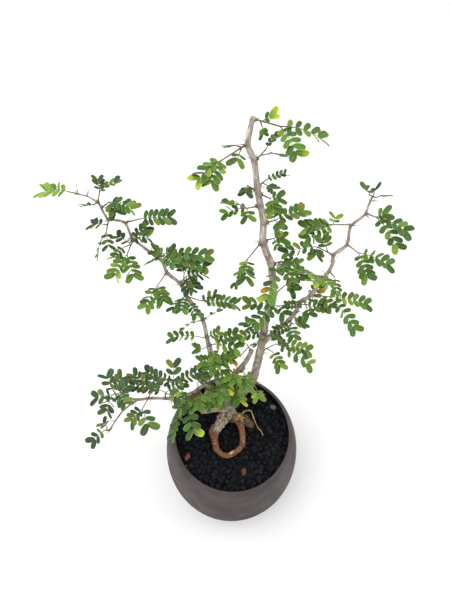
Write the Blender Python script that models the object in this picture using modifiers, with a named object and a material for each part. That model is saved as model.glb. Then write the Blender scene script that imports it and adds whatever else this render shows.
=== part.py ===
"""A young Texas ebony tree grown as a bonsai, in its round stoneware pot.

The pot is a turned shell with drainage holes. It holds a drainage mesh, potting mix and a
top dressing of black lava gravel with two red chips. The tree stands in plain holes through
both layers: a trunk with a looped root, five stems with thorns and short spurs, and sprays of
twice-divided leaves. Each spray is one thin blade cut to the rib between its leaflets.

Run it with blender --background --python part.py. Metres, +Z up. The origin is the centre of
the pot's underside, and the tree is seen as in its usual front view from -Y.
"""

import math
import random

import bmesh
import bpy
from mathutils import Matrix, Vector
from mathutils.bvhtree import BVHTree

MM = 0.001
OBJECT_NAME = "texas_ebony_bonsai"
GAP = 0.3 * MM
MERGE = 0.00001

# The pot, whose wall follows half an ellipse above its widest ring and half of one below
POT_HEIGHT = 140 * MM
MOUTH_RADIUS = 62 * MM
WIDEST_RADIUS = 74.6 * MM
WIDEST_HEIGHT = 70 * MM
FOOT_RADIUS = 53 * MM
WALL = 3 * MM
FLOOR = 6 * MM
RIM_ROUND = 1 * MM
FOOT_ROUND = 3 * MM
INNER_RINGS = tuple(height * MM for height in (6, 40, 80, 117, 139))
OUTER_STEPS = 7
TURNED_STEPS = 32
DRAIN_RADIUS = 4.5 * MM
DRAIN_CIRCLE = 24 * MM
DRAIN_HOLES = 3
SMALL_SIDES = 12

# What the pot holds
MESH_RADIUS = 36 * MM
MESH_THICKNESS = 1 * MM
SOIL_TOP = 117.7 * MM
GRAVEL_BOTTOM = 118 * MM
GRAVEL_TOP = 130.5 * MM
PEBBLE_RISE = 1.5 * MM
PEBBLE_DIP = 1.2 * MM
PEBBLE_SPACING = 6.4 * MM
PEBBLE_JITTER = 0.7 * MM
PEBBLE_SEED = 3
CHIP_POCKET = 6.8 * MM
CHIP_SEAT = 130.8 * MM
CHIP_SEED = 9
CHIPS = {
    "red_chip_left": (Vector((-46, -24, 0)) * MM, Vector((5.5, 4, 2.2)) * MM, 65),
    "red_chip_front": (Vector((11.4, -38.9, 0)) * MM, Vector((5.4, 3.8, 2.1)) * MM, 75),
}

# The foot of the tree, which goes down into the potting mix in two plain holes
TRUNK_FOOT = Vector((0, 19, 0)) * MM
TRUNK_HOLE = 7.4 * MM
TRUNK_HOLE_SIDES = 20
TRUNK_DEPTH = 90 * MM
ROOT_FOOT = Vector((20.5, 8.5, 0)) * MM
ROOT_HOLE = 5 * MM
ROOT_DEPTH = 108 * MM

# Stems and roots, each a hand-laid route of (x, y, z, radius) in millimetres
TRUNK = (
    (0, 19, 90.3, 4.5), (0, 19, 112, 6.2), (0, 19, 133, 6.6), (-1, 18, 140, 6.2), (-2, 20, 147, 5.4),
    (-2, 22, 158, 5.1), (2, 25, 164, 4.8),
)
STEMS = {
    "middle": (
        (-1, 22, 160, 4.8), (11, 31, 170, 4.5), (20, 39, 181, 4.3), (25, 51, 212, 4.0),
        (28, 61, 243, 3.7), (29, 67, 258, 3.5), (33, 71, 285, 3.3), (29, 79, 318, 3.1),
        (20, 82, 345, 2.9), (20, 88, 359, 2.7), (14, 96, 384, 2.5), (11, 103, 403, 2.3),
        (6, 107, 414, 2.1), (9, 115, 430, 1.9),
    ),
    "right": (
        (28, 56, 229, 2.6), (33, 58, 237, 2.5), (41, 61, 249, 2.3), (48, 63, 257, 2.2),
        (55, 67, 269, 2.1), (57, 70, 279, 2.0), (64, 70, 288, 1.9), (71, 75, 302, 1.8),
        (75, 77, 309, 1.7), (79, 81, 318, 1.6), (78, 83, 328, 1.6), (86, 83, 340, 1.4),
        (86, 88, 356, 1.3), (94, 89, 367, 1.1), (96, 93, 377, 0.9),
    ),
    "left": (
        (-4, 26, 163, 2.6), (-12, 32, 178, 2.6), (-20, 43, 205, 2.4), (-25, 57, 236, 2.1),
        (-29, 66, 258, 1.9), (-44, 76, 283, 1.8), (-47, 80, 291, 1.7), (-58, 83, 303, 1.6),
        (-61, 88, 311, 1.5), (-70, 90, 321, 1.4), (-83, 93, 335, 1.3), (-87, 97, 349, 1.2),
        (-99, 95, 355, 1.1), (-104, 100, 366, 1.0), (-111, 101, 372, 0.8), (-117, 100, 375, 0.8),
    ),
    "low": (
        (-7, 24, 160, 2.4), (-19, 30, 178, 2.2), (-30, 30, 187, 2.0), (-40, 20, 193, 1.8),
        (-59, 11, 202, 1.6), (-76, 9, 208, 1.4), (-89, 6, 211, 1.3), (-98, 7, 214, 1.1),
        (-106, 6, 216, 0.9),
    ),
    "low_fork": ((-89, 6, 211, 1.1), (-102, -2, 204, 1.0), (-109, -10, 199, 0.9), (-114, -18, 195, 0.8)),
    "stub": (
        (1, 23, 160, 3.2), (-1, 28, 168, 2.9), (-4, 37, 184, 2.6), (5, 43, 197, 2.5), (12, 47, 207, 2.4),
        (18, 53, 221, 2.0),
    ),
}
ROOTS = {
    "loop": (
        (-6, 16, 142.5, 5.4), (-11, 10, 141.5, 6.2), (-14, 4.5, 140, 5.0), (-17, -1, 139, 3.6),
        (-18, -9, 138, 3.4), (-16, -18, 137, 3.1), (-10, -23, 136.5, 2.8), (-4, -24, 136.5, 2.7),
        (4, -20, 137, 2.9), (10, -14, 137.5, 3.0), (11, -6, 138, 3.1), (10, 2, 139, 3.3), (7, 13, 140, 3.6),
    ),
    "right_root": (
        (1, 15, 141, 5.0), (9, 14, 140.5, 4.6), (15, 12, 138.5, 4.4), (19, 9.5, 135, 4.1),
        (20.5, 8.5, 130, 3.7), (20.5, 8.5, 108.4, 2.6),
    ),
    "outer_root": ((-11, 10, 140, 2.8), (-20, 5, 138, 2.4), (-22.5, -2, 136.8, 2.1), (-19, -9, 137, 1.9)),
    "wiry_root": (
        (8, 16, 142, 1.0), (14, 20.5, 144.5, 0.8), (20, 20.5, 144, 0.8), (23, 13, 141, 0.75),
        (27, 5, 137.5, 0.7), (31, 1, 135.5, 0.65), (32.5, -3, 134.5, 0.6),
    ),
    "cut_root": ((-2, 20, 150, 2.7), (-19, 19, 150, 2.5), (-33, 17, 150, 2.3)),
}
STEM_SIDES = 6
TRUNK_SIDES = 8
TWIG_SIDES = 4

# Spurs, thorns and leaves
SPUR_LENGTH = 2 * MM
SPUR_TO_STEM = 0.55
SPUR_LEAST = 0.6 * MM
THORN_RADIUS = 0.6 * MM
THORN_LENGTHS = (6 * MM, 10 * MM)
THORN_SINK = 1 * MM
THORN_CLEAR = 4 * MM
THORN_ROOM = 2 * MM
THORN_SPREAD = 35
THORN_FORWARD = 0.35
THORN_SEED = 11
LEAFLET_LENGTH = 10.5 * MM
LEAFLET_WIDTH = 5.6 * MM
LEAFLET_START = 0.66
LEAFLET_SHOULDER = 0.6
LEAFLET_ROOT = 1.9 * MM
LEAFLET_CROWDING = 1.0
LEAST_SPACING = 3.4 * MM
LEAFLET_ANGLES = (68, 40)
LEAFLET_LIFT = 8
LEAFLET_SWAY = 6
CLEARING_LIFTS = (0, 20, -20, 38, -38)
CLEARING_LENGTHS = (1.0, 0.8)
LEAF_SEED = 5
BLADE_THICKNESS = 0.7 * MM
STALK_WIDTH = 1.2 * MM
KNUCKLE = 0.9 * MM
KNUCKLE_SPREAD = math.radians(35)
LEAST_NOTCH = math.radians(12)
PLAIN_TURN = math.radians(35)
SHARPEST_TURN = math.radians(95)
RIB_WIDTH = 0.9 * MM
RIB_ARCH = 0.07
FIRST_PAIR = 0.2
CLEAR_OF_FORK = 2.6 * MM
LEAST_RUN = 5 * MM
TERMINAL_REACH = 0.75
SOURCE_SHARE = 0.5


def pinna(bearing, rise, reach, pairs, scale=1.0, roll=0):
    """One feather of a leaf: degrees round from +X, degrees above level, and its reach in mm."""
    return {"bearing": bearing, "rise": rise, "reach": reach * MM, "pairs": pairs,
            "scale": scale, "roll": roll}


def leaf(bearing, rise, length, *pinnae):
    """A leaf stalk, with the pinnae that fork at its end."""
    return {"bearing": bearing, "rise": rise, "length": length * MM, "pinnae": pinnae}


def spray(name, stem, along, spur, leaves):
    """A spray of leaves on a spur, at a distance in mm along its stem."""
    return {"name": name, "stem": stem, "along": along * MM, "spur": spur, "leaves": leaves}


SPRAYS = (
    spray("crown_right", "middle", 299, (-25, 0), [
        leaf(-25, 0, 14, pinna(-10, -10, 33, 5), pinna(-60, -20, 27, 5)),
        leaf(-70, 30, 6, pinna(0, 35, 9, 2, 0.95)),
        leaf(-50, -50, 3, pinna(-50, -65, 7, 4, 0.55))]),
    spray("crown_left", "middle", 283, (-140, -5), [
        leaf(-140, -5, 17, pinna(-140, -15, 26, 5), pinna(-115, -20, 23, 5)),
        leaf(-165, 30, 3, pinna(-175, 0, 7, 3, 0.8, 35)),
        leaf(-110, -15, 3, pinna(-115, -45, 8, 2, 0.9))]),
    spray("upper_right", "middle", 270, (30, 35), [
        leaf(35, 35, 6, pinna(40, 30, 15, 4, 0.7, -30)),
        leaf(10, 5, 3, pinna(-5, 0, 17, 4, 0.9, -40))]),
    spray("tiny_right", "middle", 251, (45, 10), [
        leaf(45, 10, 3, pinna(20, 5, 18, 5, 0.5)),
        leaf(-45, 0, 3, pinna(-40, 0, 8, 3, 0.7))]),
    spray("upper_left", "middle", 248, (165, 25), [
        leaf(165, 25, 3, pinna(-100, -10, 10, 3, 0.75))]),
    spray("left_spray", "middle", 237, (-155, 5), [
        leaf(-160, 5, 5, pinna(170, 10, 19, 4, 0.8, 30), pinna(-170, -10, 20, 4, 0.8),
             pinna(-80, -55, 10, 2, 0.9))]),
    spray("mid_right_upper", "middle", 247, (-30, -5), [
        leaf(-25, -10, 4, pinna(5, 0, 12, 2), pinna(-70, -30, 13, 3))]),
    spray("mid_right", "middle", 222, (10, 10), [
        leaf(10, 10, 3, pinna(20, 5, 27, 5), pinna(-45, -45, 12, 4), pinna(115, 20, 11, 2))]),
    spray("mid_right_lower", "middle", 207, (20, 0), [
        leaf(20, 0, 3, pinna(0, 0, 10, 3), pinna(-60, -30, 8, 2, 0.6))]),
    spray("mid_left", "middle", 207, (-130, -10), [
        leaf(-130, -15, 13, pinna(-95, -30, 20, 5), pinna(-120, -30, 25, 3, 0.7, 40))]),
    spray("centre_front", "middle", 180, (15, 15), [
        leaf(15, 15, 3, pinna(-40, 0, 9, 2, 0.9)),
        leaf(-95, 15, 3, pinna(-110, -25, 33, 5))]),
    spray("centre_right", "middle", 146, (30, 35), [
        leaf(30, 30, 9, pinna(30, 10, 21, 4), pinna(-35, -20, 13, 4))]),
    spray("low_edge", "middle", 101, (-80, 15), [
        leaf(-80, 15, 3, pinna(-150, 0, 16, 4, 0.7, 50)),
        leaf(-20, 35, 3, pinna(15, 10, 10, 2, 0.8))]),
    spray("fan", "middle", 74, (20, 20), [
        leaf(20, 20, 10, pinna(-10, -5, 36, 6), pinna(-30, -10, 42, 5)),
        leaf(-35, 5, 7, pinna(-60, -25, 20, 4))]),
    spray("fork_front", "middle", 32, (-60, 20), [
        leaf(-60, 20, 3, pinna(-80, -15, 14, 3)),
        leaf(165, 40, 3, pinna(130, 25, 23, 3, 0.8))]),
    spray("trunk_front", "middle", 14, (-175, 80), [
        leaf(-175, 80, 3, pinna(-85, -20, 16, 3), pinna(-135, 0, 17, 3), pinna(-175, 35, 13, 2, 0.9))]),
    spray("right_tip", "right", 172, (60, 35), [
        leaf(60, 35, 3, pinna(-115, 70, 8, 3, 0.7, 60))]),
    spray("right_end", "right", 163, (-35, 10), [
        leaf(-35, 5, 4, pinna(0, 30, 8, 2), pinna(-30, -5, 28, 5), pinna(-60, -15, 31, 5))]),
    spray("right_left", "right", 150, (-180, 0), [
        leaf(-180, 0, 10, pinna(-175, -5, 26, 6), pinna(-155, -15, 27, 5), pinna(70, 30, 8, 2, 0.7))]),
    spray("right_inner", "right", 117, (145, 0), [
        leaf(145, 0, 10, pinna(-170, -5, 31, 5), pinna(-100, -30, 11, 3)),
        leaf(115, 35, 3, pinna(110, 15, 15, 3))]),
    spray("right_outer", "right", 132, (-40, -5), [
        leaf(-45, -5, 6, pinna(-20, -10, 30, 5), pinna(-70, -25, 25, 5))]),
    spray("right_hanging", "right", 101, (-60, 0), [
        leaf(-60, 0, 3, pinna(-85, -30, 16, 4, 0.7))]),
    spray("right_pale", "right", 94, (175, 15), [
        leaf(175, 15, 3, pinna(175, 5, 21, 6, 0.9, 35))]),
    spray("right_long", "right", 73, (-5, 0), [
        leaf(-5, 0, 11, pinna(-10, -5, 37, 6), pinna(-50, -20, 39, 6)),
        leaf(-35, 0, 3, pinna(-40, -15, 16, 3, 0.8))]),
    spray("right_middle", "right", 64, (-70, 10), [
        leaf(-15, 5, 3, pinna(60, 10, 25, 4, 0.9)),
        leaf(-95, 30, 6, pinna(5, -5, 20, 4), pinna(-65, -30, 8, 2))]),
    spray("right_inward", "right", 60, (-155, 20), [
        leaf(-155, 20, 18, pinna(180, 5, 31, 5), pinna(-140, 0, 32, 5), pinna(-55, -20, 13, 2))]),
    spray("right_low", "right", 37, (-60, 30), [
        leaf(-60, 30, 3, pinna(15, -10, 14, 3)),
        leaf(-130, 5, 16, pinna(-125, -10, 10, 3, 0.7))]),
    spray("left_tip", "left", 264, (160, 0), [
        leaf(165, 0, 4, pinna(175, -5, 25, 5, 1.1, 15))]),
    spray("left_tip_up", "left", 248, (0, 80), [
        leaf(90, 5, 7, pinna(25, 20, 19, 4, 0.8, -15), pinna(100, 35, 13, 4, 0.7, 25)),
        leaf(-105, 5, 7, pinna(-160, 15, 7, 2, 0.8, 35))]),
    spray("left_arc", "left", 244, (40, 15), [
        leaf(40, 15, 3, pinna(-20, 0, 25, 6), pinna(-50, -20, 15, 4))]),
    spray("left_right", "left", 221, (15, 5), [
        leaf(15, 5, 7, pinna(5, 0, 29, 6, 1.0, 25))]),
    spray("left_hang_outer", "left", 234, (-105, -40), [
        leaf(-105, -40, 6, pinna(-120, -40, 23, 4, 0.6, 40), pinna(-80, -35, 15, 3, 0.7)),
        leaf(-175, 0, 3, pinna(165, -15, 15, 3, 0.9))]),
    spray("left_node", "left", 206, (-100, 15), [
        leaf(-100, 15, 3, pinna(145, 0, 17, 3, 0.8)),
        leaf(15, 40, 3, pinna(40, 20, 18, 4, 0.9), pinna(0, 15, 17, 4, 0.8, 15))]),
    spray("left_hang", "left", 205, (-115, -25), [
        leaf(-115, -30, 9, pinna(-120, -20, 25, 5), pinna(-70, -20, 24, 5)),
        leaf(-165, -15, 6, pinna(-130, -20, 16, 4, 0.8))]),
    spray("left_upper", "left", 181, (-5, 15), [
        leaf(-5, 15, 4, pinna(-5, 5, 40, 6), pinna(-15, -5, 39, 6)),
        leaf(-85, 0, 3, pinna(-165, -10, 15, 4, 0.8, 40))]),
    spray("left_dark", "left", 148, (50, 10), [
        leaf(50, 10, 3, pinna(15, 0, 20, 4), pinna(-50, -20, 17, 4))]),
    spray("left_mid_hang", "left", 164, (-125, -25), [
        leaf(-125, -20, 9, pinna(-120, -25, 25, 5), pinna(-65, -25, 19, 5))]),
    spray("left_mid_right", "left", 136, (-80, 40), [
        leaf(-15, -10, 14, pinna(-3, -5, 35, 7), pinna(20, 15, 17, 3, 0.7)),
        leaf(-135, 0, 5, pinna(-125, -5, 16, 3, 0.9, 35)),
        leaf(-65, 0, 8, pinna(-60, -5, 17, 4, 0.8))]),
    spray("left_thin", "left", 107, (-80, 30), [
        leaf(-80, 30, 3, pinna(35, 10, 21, 3, 0.7, -45)),
        leaf(-160, 15, 6, pinna(-145, 0, 17, 3, 0.6, 45))]),
    spray("left_low_outer", "left", 87, (-90, 25), [
        leaf(160, -15, 8, pinna(-180, -5, 30, 5, 0.8, 30)),
        leaf(-5, 40, 3, pinna(25, 10, 14, 3, 0.8))]),
    spray("left_low_right", "left", 76, (-40, 45), [
        leaf(-40, 45, 3, pinna(25, 5, 28, 5), pinna(-5, -10, 27, 4)),
        leaf(-145, 5, 9, pinna(-175, 10, 11, 4, 0.8)),
        leaf(-80, 0, 5, pinna(-75, -25, 15, 4, 0.9))]),
    spray("left_low", "left", 57, (25, 10), [
        leaf(25, 10, 3, pinna(-10, -10, 19, 4), pinna(-75, -20, 15, 4)),
        leaf(-120, 25, 6, pinna(-170, 5, 17, 4, 0.9), pinna(-115, -15, 15, 4, 0.9))]),
    spray("low_up", "low", 75, (75, 35), [
        leaf(70, 40, 9, pinna(95, 15, 24, 3, 1.1), pinna(155, 0, 35, 6), pinna(30, 0, 33, 6))]),
    spray("low_row", "low", 80, (90, 60), [
        leaf(90, 60, 3, pinna(170, 0, 37, 6)),
        leaf(50, 20, 3, pinna(30, 5, 21, 4))]),
    spray("low_mid", "low", 97, (-10, 65), [
        leaf(80, 5, 6, pinna(140, 15, 27, 5, 1.0, 30)),
        leaf(-110, 10, 13, pinna(-65, -20, 22, 3, 1.15), pinna(-135, -20, 19, 4))]),
    spray("low_tip", "low", 124, (130, 35), [
        leaf(130, 35, 3, pinna(120, 20, 20, 3), pinna(60, 20, 19, 4)),
        leaf(-160, 0, 3, pinna(-170, -5, 20, 3), pinna(-105, -15, 20, 4))]),
    spray("low_fork_tip", "low_fork", 38, (-150, 50), [
        leaf(-150, 50, 3, pinna(-135, -10, 17, 3, 0.9)),
        leaf(85, 10, 3, pinna(140, -10, 10, 2, 0.8))]),
    spray("low_hanging", "low", 52, (-120, -10), [
        leaf(-115, -10, 8, pinna(-70, -20, 32, 4, 1.2), pinna(-115, -25, 36, 6, 0.8, 30))]),
    spray("low_mass", "low", 45, (-50, 55), [
        leaf(-125, 10, 9, pinna(-135, 0, 22, 5), pinna(-75, -15, 16, 4)),
        leaf(100, 20, 7, pinna(40, 20, 16, 4))]),
    spray("low_inner", "low", 32, (-70, 10), [
        leaf(-70, 10, 3, pinna(-70, -20, 17, 4, 1.2), pinna(-20, -15, 20, 4)),
        leaf(50, 50, 12, pinna(20, 25, 21, 4)),
        leaf(0, 30, 12, pinna(5, -5, 15, 3), pinna(-60, -10, 15, 3))]),
    spray("stub_tip", "stub", 72, (120, 15), [
        leaf(120, 15, 3, pinna(170, 10, 12, 4, 0.9)),
        leaf(-130, -5, 13, pinna(165, 10, 12, 4, 0.8))]),
    spray("stub_mid", "stub", 47, (-50, 20), [
        leaf(-50, 20, 3, pinna(-85, -20, 19, 3, 1.2)),
        leaf(-150, 30, 6, pinna(-165, 5, 17, 4, 0.9), pinna(-105, -10, 15, 3))]),
    spray("stub_low", "stub", 16, (-140, 30), [
        leaf(-150, 35, 6, pinna(170, 10, 17, 4), pinna(-120, 0, 16, 3))]),
)


def heading(bearing, rise):
    """Unit vector from a bearing round from +X and a rise above level, both in degrees."""
    level = math.cos(math.radians(rise))
    turn = math.radians(bearing)
    return Vector((level * math.cos(turn), level * math.sin(turn), math.sin(math.radians(rise))))


def upright(axis, roll=0):
    """The direction square to an axis that leans least from straight up, rolled about the axis."""
    up = Vector((0, 0, 1)) - axis * axis.z
    return Matrix.Rotation(math.radians(roll), 3, axis) @ up.normalized()


def route_points(route):
    return [Vector(point[:3]) * MM for point in route]


def point_on(stem, along):
    """The point and the radius at a distance along a stem."""
    points = route_points(STEMS[stem])
    radii = [point[3] * MM for point in STEMS[stem]]
    for index in range(len(points) - 1):
        step = points[index + 1] - points[index]
        if along <= step.length or index == len(points) - 2:
            share = min(1.0, along / step.length)
            return points[index] + step * share, radii[index] + (radii[index + 1] - radii[index]) * share
        along -= step.length


def spur_reach(row):
    """Where a spray's spur starts in its stem, its direction, and how far its end lies from there."""
    base, radius = point_on(row["stem"], row["along"])
    return base, heading(*row["spur"]), radius, radius + SPUR_LENGTH


def material(name, colour, roughness):
    finish = bpy.data.materials.new(name)
    finish.use_nodes = True
    shader = finish.node_tree.nodes["Principled BSDF"]
    shader.inputs["Base Color"].default_value = (*colour, 1.0)
    shader.inputs["Roughness"].default_value = roughness
    shader.inputs["Metallic"].default_value = 0.0
    finish.diffuse_color = (*colour, 1.0)
    return finish


def add_object(name, mesh, collection, finish=None):
    thing = bpy.data.objects.new(name, mesh)
    collection.objects.link(thing)
    if finish:
        mesh.materials.append(finish)
    return thing


def mesh_from(bm, name):
    bmesh.ops.recalc_face_normals(bm, faces=bm.faces)
    mesh = bpy.data.meshes.new(name)
    bm.to_mesh(mesh)
    bm.free()
    return mesh


def applied(thing):
    """A thing's mesh with its modifiers applied."""
    bpy.context.view_layer.update()
    graph = bpy.context.evaluated_depsgraph_get()
    return bpy.data.meshes.new_from_object(thing.evaluated_get(graph))


def remove(things):
    for thing in things:
        bpy.data.objects.remove(thing, do_unlink=True)


def settle(thing):
    """Keep a thing's shape and drop its modifiers."""
    mesh = applied(thing)
    thing.modifiers.clear()
    thing.data = mesh
    return thing


def fuse(name, pieces, collection, finish):
    """Join closed pieces into one body and remove the loose ones."""
    gathered = bpy.data.collections.new(name + "_pieces")
    bpy.context.scene.collection.children.link(gathered)
    whole = pieces[0]
    for piece in pieces[1:]:
        collection.objects.unlink(piece)
        gathered.objects.link(piece)
    union = whole.modifiers.new("Fuse", "BOOLEAN")
    union.operation = "UNION"
    union.operand_type = "COLLECTION"
    union.collection = gathered
    union.solver = "EXACT"
    settle(whole)
    remove(pieces[1:])
    bpy.data.collections.remove(gathered)
    whole.name = name
    whole.data.materials.clear()
    whole.data.materials.append(finish)
    return whole


def cut(thing, cutter):
    """Take a cutter's shape out of a thing."""
    carve = thing.modifiers.new(cutter.name, "BOOLEAN")
    carve.operation = "DIFFERENCE"
    carve.object = cutter
    carve.solver = "EXACT"


def cylinder_cutter(name, centre, radius, low, high, cutters, sides=SMALL_SIDES):
    """An upright cylinder that cuts other parts, kept as a wire guide."""
    bm = bmesh.new()
    shift = Matrix.Translation((centre.x, centre.y, (low + high) / 2))
    bmesh.ops.create_cone(bm, cap_ends=True, segments=sides, radius1=radius, radius2=radius,
                          depth=high - low, matrix=shift)
    cutter = add_object(name, mesh_from(bm, name), cutters)
    cutter.hide_render = True
    cutter.display_type = "WIRE"
    return cutter


def lathe(name, profile, collection, finish):
    """Turn a profile of (radius, height) points about the Z axis."""
    mesh = bpy.data.meshes.new(name)
    edges = [(index, index + 1) for index in range(len(profile) - 1)]
    mesh.from_pydata([(radius, 0, height) for radius, height in profile], edges, [])
    thing = add_object(name, mesh, collection, finish)
    turn = thing.modifiers.new("Turn", "SCREW")
    turn.steps = TURNED_STEPS
    turn.render_steps = TURNED_STEPS
    turn.use_merge_vertices = True
    turn.merge_threshold = MERGE
    turn.use_smooth_shade = True
    settle(thing)
    thing.data.set_sharp_from_angle(angle=math.radians(40))
    return thing


def wall_radius(height):
    """The pot's outer radius at a height."""
    if height >= WIDEST_HEIGHT:
        end, share = MOUTH_RADIUS, (height - WIDEST_HEIGHT) / (POT_HEIGHT - WIDEST_HEIGHT)
    else:
        end, share = FOOT_RADIUS, (WIDEST_HEIGHT - height) / WIDEST_HEIGHT
    return WIDEST_RADIUS * math.sqrt(1 - (1 - (end / WIDEST_RADIUS) ** 2) * share ** 2)


def heights(low, high, steps):
    return [low + (high - low) * step / steps for step in range(steps + 1)]


def make_pot(collection, cutters):
    clay = material("taupe_stoneware", (0.125, 0.105, 0.105), 0.75)
    inner = [(wall_radius(z) - WALL, z) for z in INNER_RINGS]
    outer = [(wall_radius(z), z) for z in heights(POT_HEIGHT - RIM_ROUND, FOOT_ROUND, OUTER_STEPS)]
    rim = [(MOUTH_RADIUS - WALL + RIM_ROUND, POT_HEIGHT), (MOUTH_RADIUS - RIM_ROUND, POT_HEIGHT)]
    foot = [(FOOT_RADIUS - FOOT_ROUND, 0), (0, 0)]
    pot = lathe("pot", [(0, FLOOR)] + inner + rim + outer + foot, collection, clay)
    for hole in range(DRAIN_HOLES):
        turn = 2 * math.pi * (hole + 0.5) / DRAIN_HOLES
        centre = Vector((math.cos(turn), math.sin(turn), 0)) * DRAIN_CIRCLE
        name = f"drain_drill_{hole + 1}"
        cut(pot, cylinder_cutter(name, centre, DRAIN_RADIUS, -FLOOR, 2 * FLOOR, cutters))
    return pot


def make_drainage_mesh(collection):
    plastic = material("black_mesh", (0.02, 0.02, 0.02), 0.6)
    low = FLOOR + GAP
    high = low + MESH_THICKNESS
    return lathe("drainage_mesh", [(0, high), (MESH_RADIUS, high), (MESH_RADIUS, low), (0, low)],
                 collection, plastic)


def lining_radius(height):
    """The radius of the pot's faceted inner wall at a height, less a gap."""
    rings = INNER_RINGS
    for below, above in zip(rings, rings[1:]):
        if height <= above or above == rings[-1]:
            share = (height - below) / (above - below)
            low, high = wall_radius(below), wall_radius(above)
            return low + (high - low) * share - WALL - GAP


def fill_profile(low, high):
    """The outline of what fills the pot between two heights, a gap clear of the wall."""
    levels = [high] + [z for z in reversed(INNER_RINGS) if low < z < high] + [low]
    return [(0, high)] + [(lining_radius(z), z) for z in levels] + [(0, low)]


def make_soil(collection, cutters, holes):
    mix = material("potting_mix", (0.05, 0.035, 0.025), 0.95)
    low = FLOOR + GAP
    soil = lathe("potting_mix", fill_profile(low, SOIL_TOP), collection, mix)
    recess = cylinder_cutter("mesh_recess", Vector((0, 0, 0)), MESH_RADIUS + GAP, 0,
                             low + MESH_THICKNESS + GAP, cutters, TURNED_STEPS)
    for cutter in (recess, *holes):
        cut(soil, cutter)


def pebble_sheet(draw):
    """A sheet of small peaks on a triangular lattice, one peak to every three of its points."""
    half = round(MOUTH_RADIUS / PEBBLE_SPACING) + 2
    row_step = PEBBLE_SPACING * math.sqrt(3) / 2
    rows = round(MOUTH_RADIUS / row_step) + 2
    bm = bmesh.new()
    bmesh.ops.create_grid(bm, x_segments=2 * half, y_segments=2 * rows, size=1)
    order = sorted(bm.verts, key=lambda vert: (round(vert.co.y, 4), round(vert.co.x, 4)))
    across = 2 * half + 1
    for index, vert in enumerate(order):
        row, column = divmod(index, across)
        vert.co.x = (column - half + (row % 2) / 2) * PEBBLE_SPACING
        vert.co.y = (row - rows) * row_step
        peak = (column - row // 2 - row) % 3 == 0
        vert.co.z = GRAVEL_TOP + (PEBBLE_RISE if peak else -PEBBLE_DIP) * draw.uniform(0.55, 1.0)
        vert.co.x += draw.uniform(-PEBBLE_JITTER, PEBBLE_JITTER)
        vert.co.y += draw.uniform(-PEBBLE_JITTER, PEBBLE_JITTER)
    bmesh.ops.triangulate(bm, faces=bm.faces, quad_method="SHORT_EDGE")
    return bm


def make_gravel(collection, cutters, holes):
    lava = material("black_lava", (0.02, 0.021, 0.025), 0.9)
    bm = pebble_sheet(random.Random(PEBBLE_SEED))
    lowered = bmesh.ops.extrude_face_region(bm, geom=bm.faces[:])
    for element in lowered["geom"]:
        if isinstance(element, bmesh.types.BMVert):
            element.co.z = GRAVEL_BOTTOM - 5 * MM
    gravel = add_object("lava_gravel", mesh_from(bm, "lava_gravel"), collection, lava)
    top = GRAVEL_TOP + 3 * PEBBLE_RISE
    mould = lathe("gravel_mould", fill_profile(GRAVEL_BOTTOM, top), cutters, None)
    mould.hide_render = True
    mould.display_type = "WIRE"
    trim = gravel.modifiers.new("Trim", "BOOLEAN")
    trim.operation = "INTERSECT"
    trim.object = mould
    for name, (place, size, turn) in CHIPS.items():
        low = CHIP_SEAT - GAP
        cut(gravel, cylinder_cutter(name + "_pocket", place, CHIP_POCKET, low, POT_HEIGHT, cutters))
    for cutter in holes:
        cut(gravel, cutter)


def make_chips(collection):
    """Two flat-bottomed chips of red lava, each in a shallow pocket of the gravel."""
    red = material("red_lava", (0.19, 0.06, 0.045), 0.9)
    draw = random.Random(CHIP_SEED)
    for name, (place, size, turn) in CHIPS.items():
        bm = bmesh.new()
        bmesh.ops.create_icosphere(bm, subdivisions=1, radius=1)
        for vert in bm.verts:
            vert.co *= draw.uniform(0.85, 1.05)
        bmesh.ops.scale(bm, vec=size, verts=bm.verts)
        round_up = Matrix.Rotation(math.radians(turn), 3, "Z")
        bmesh.ops.rotate(bm, cent=(0, 0, 0), matrix=round_up, verts=bm.verts)
        flat = -0.6 * size.z
        for vert in bm.verts:
            vert.co.z = max(vert.co.z, flat) - flat
        bmesh.ops.translate(bm, vec=(place.x, place.y, CHIP_SEAT), verts=bm.verts)
        add_object(name, mesh_from(bm, name), collection, red)


def tube(name, points, radii, sides, collection):
    """A round tapering tube along a route, as a closed mesh."""
    curve = bpy.data.curves.new(name, "CURVE")
    curve.dimensions = "3D"
    curve.bevel_depth = MM
    curve.bevel_resolution = (sides - 4) // 2
    curve.use_fill_caps = True
    line = curve.splines.new("POLY")
    line.points.add(len(points) - 1)
    for spot, point, radius in zip(line.points, points, radii):
        spot.co = (*point, 1)
        spot.radius = radius / MM
    guide = bpy.data.objects.new(name + "_route", curve)
    collection.objects.link(guide)
    bm = bmesh.new()
    bm.from_mesh(applied(guide))
    remove([guide])
    bmesh.ops.remove_doubles(bm, verts=bm.verts, dist=MERGE)
    bmesh.ops.dissolve_degenerate(bm, edges=bm.edges, dist=MERGE)
    return add_object(name, mesh_from(bm, name), collection)


def route_tube(name, route, sides, collection):
    return tube(name, route_points(route), [point[3] * MM for point in route], sides, collection)


def thorn(name, foot, direction, length, collection):
    bm = bmesh.new()
    turn = direction.to_track_quat("Z", "Y").to_matrix().to_4x4()
    place = Matrix.Translation(foot + direction * length / 2) @ turn
    bmesh.ops.create_cone(bm, cap_ends=True, segments=3, radius1=THORN_RADIUS, radius2=0,
                          depth=length, matrix=place)
    return add_object(name, mesh_from(bm, name), collection)


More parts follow.
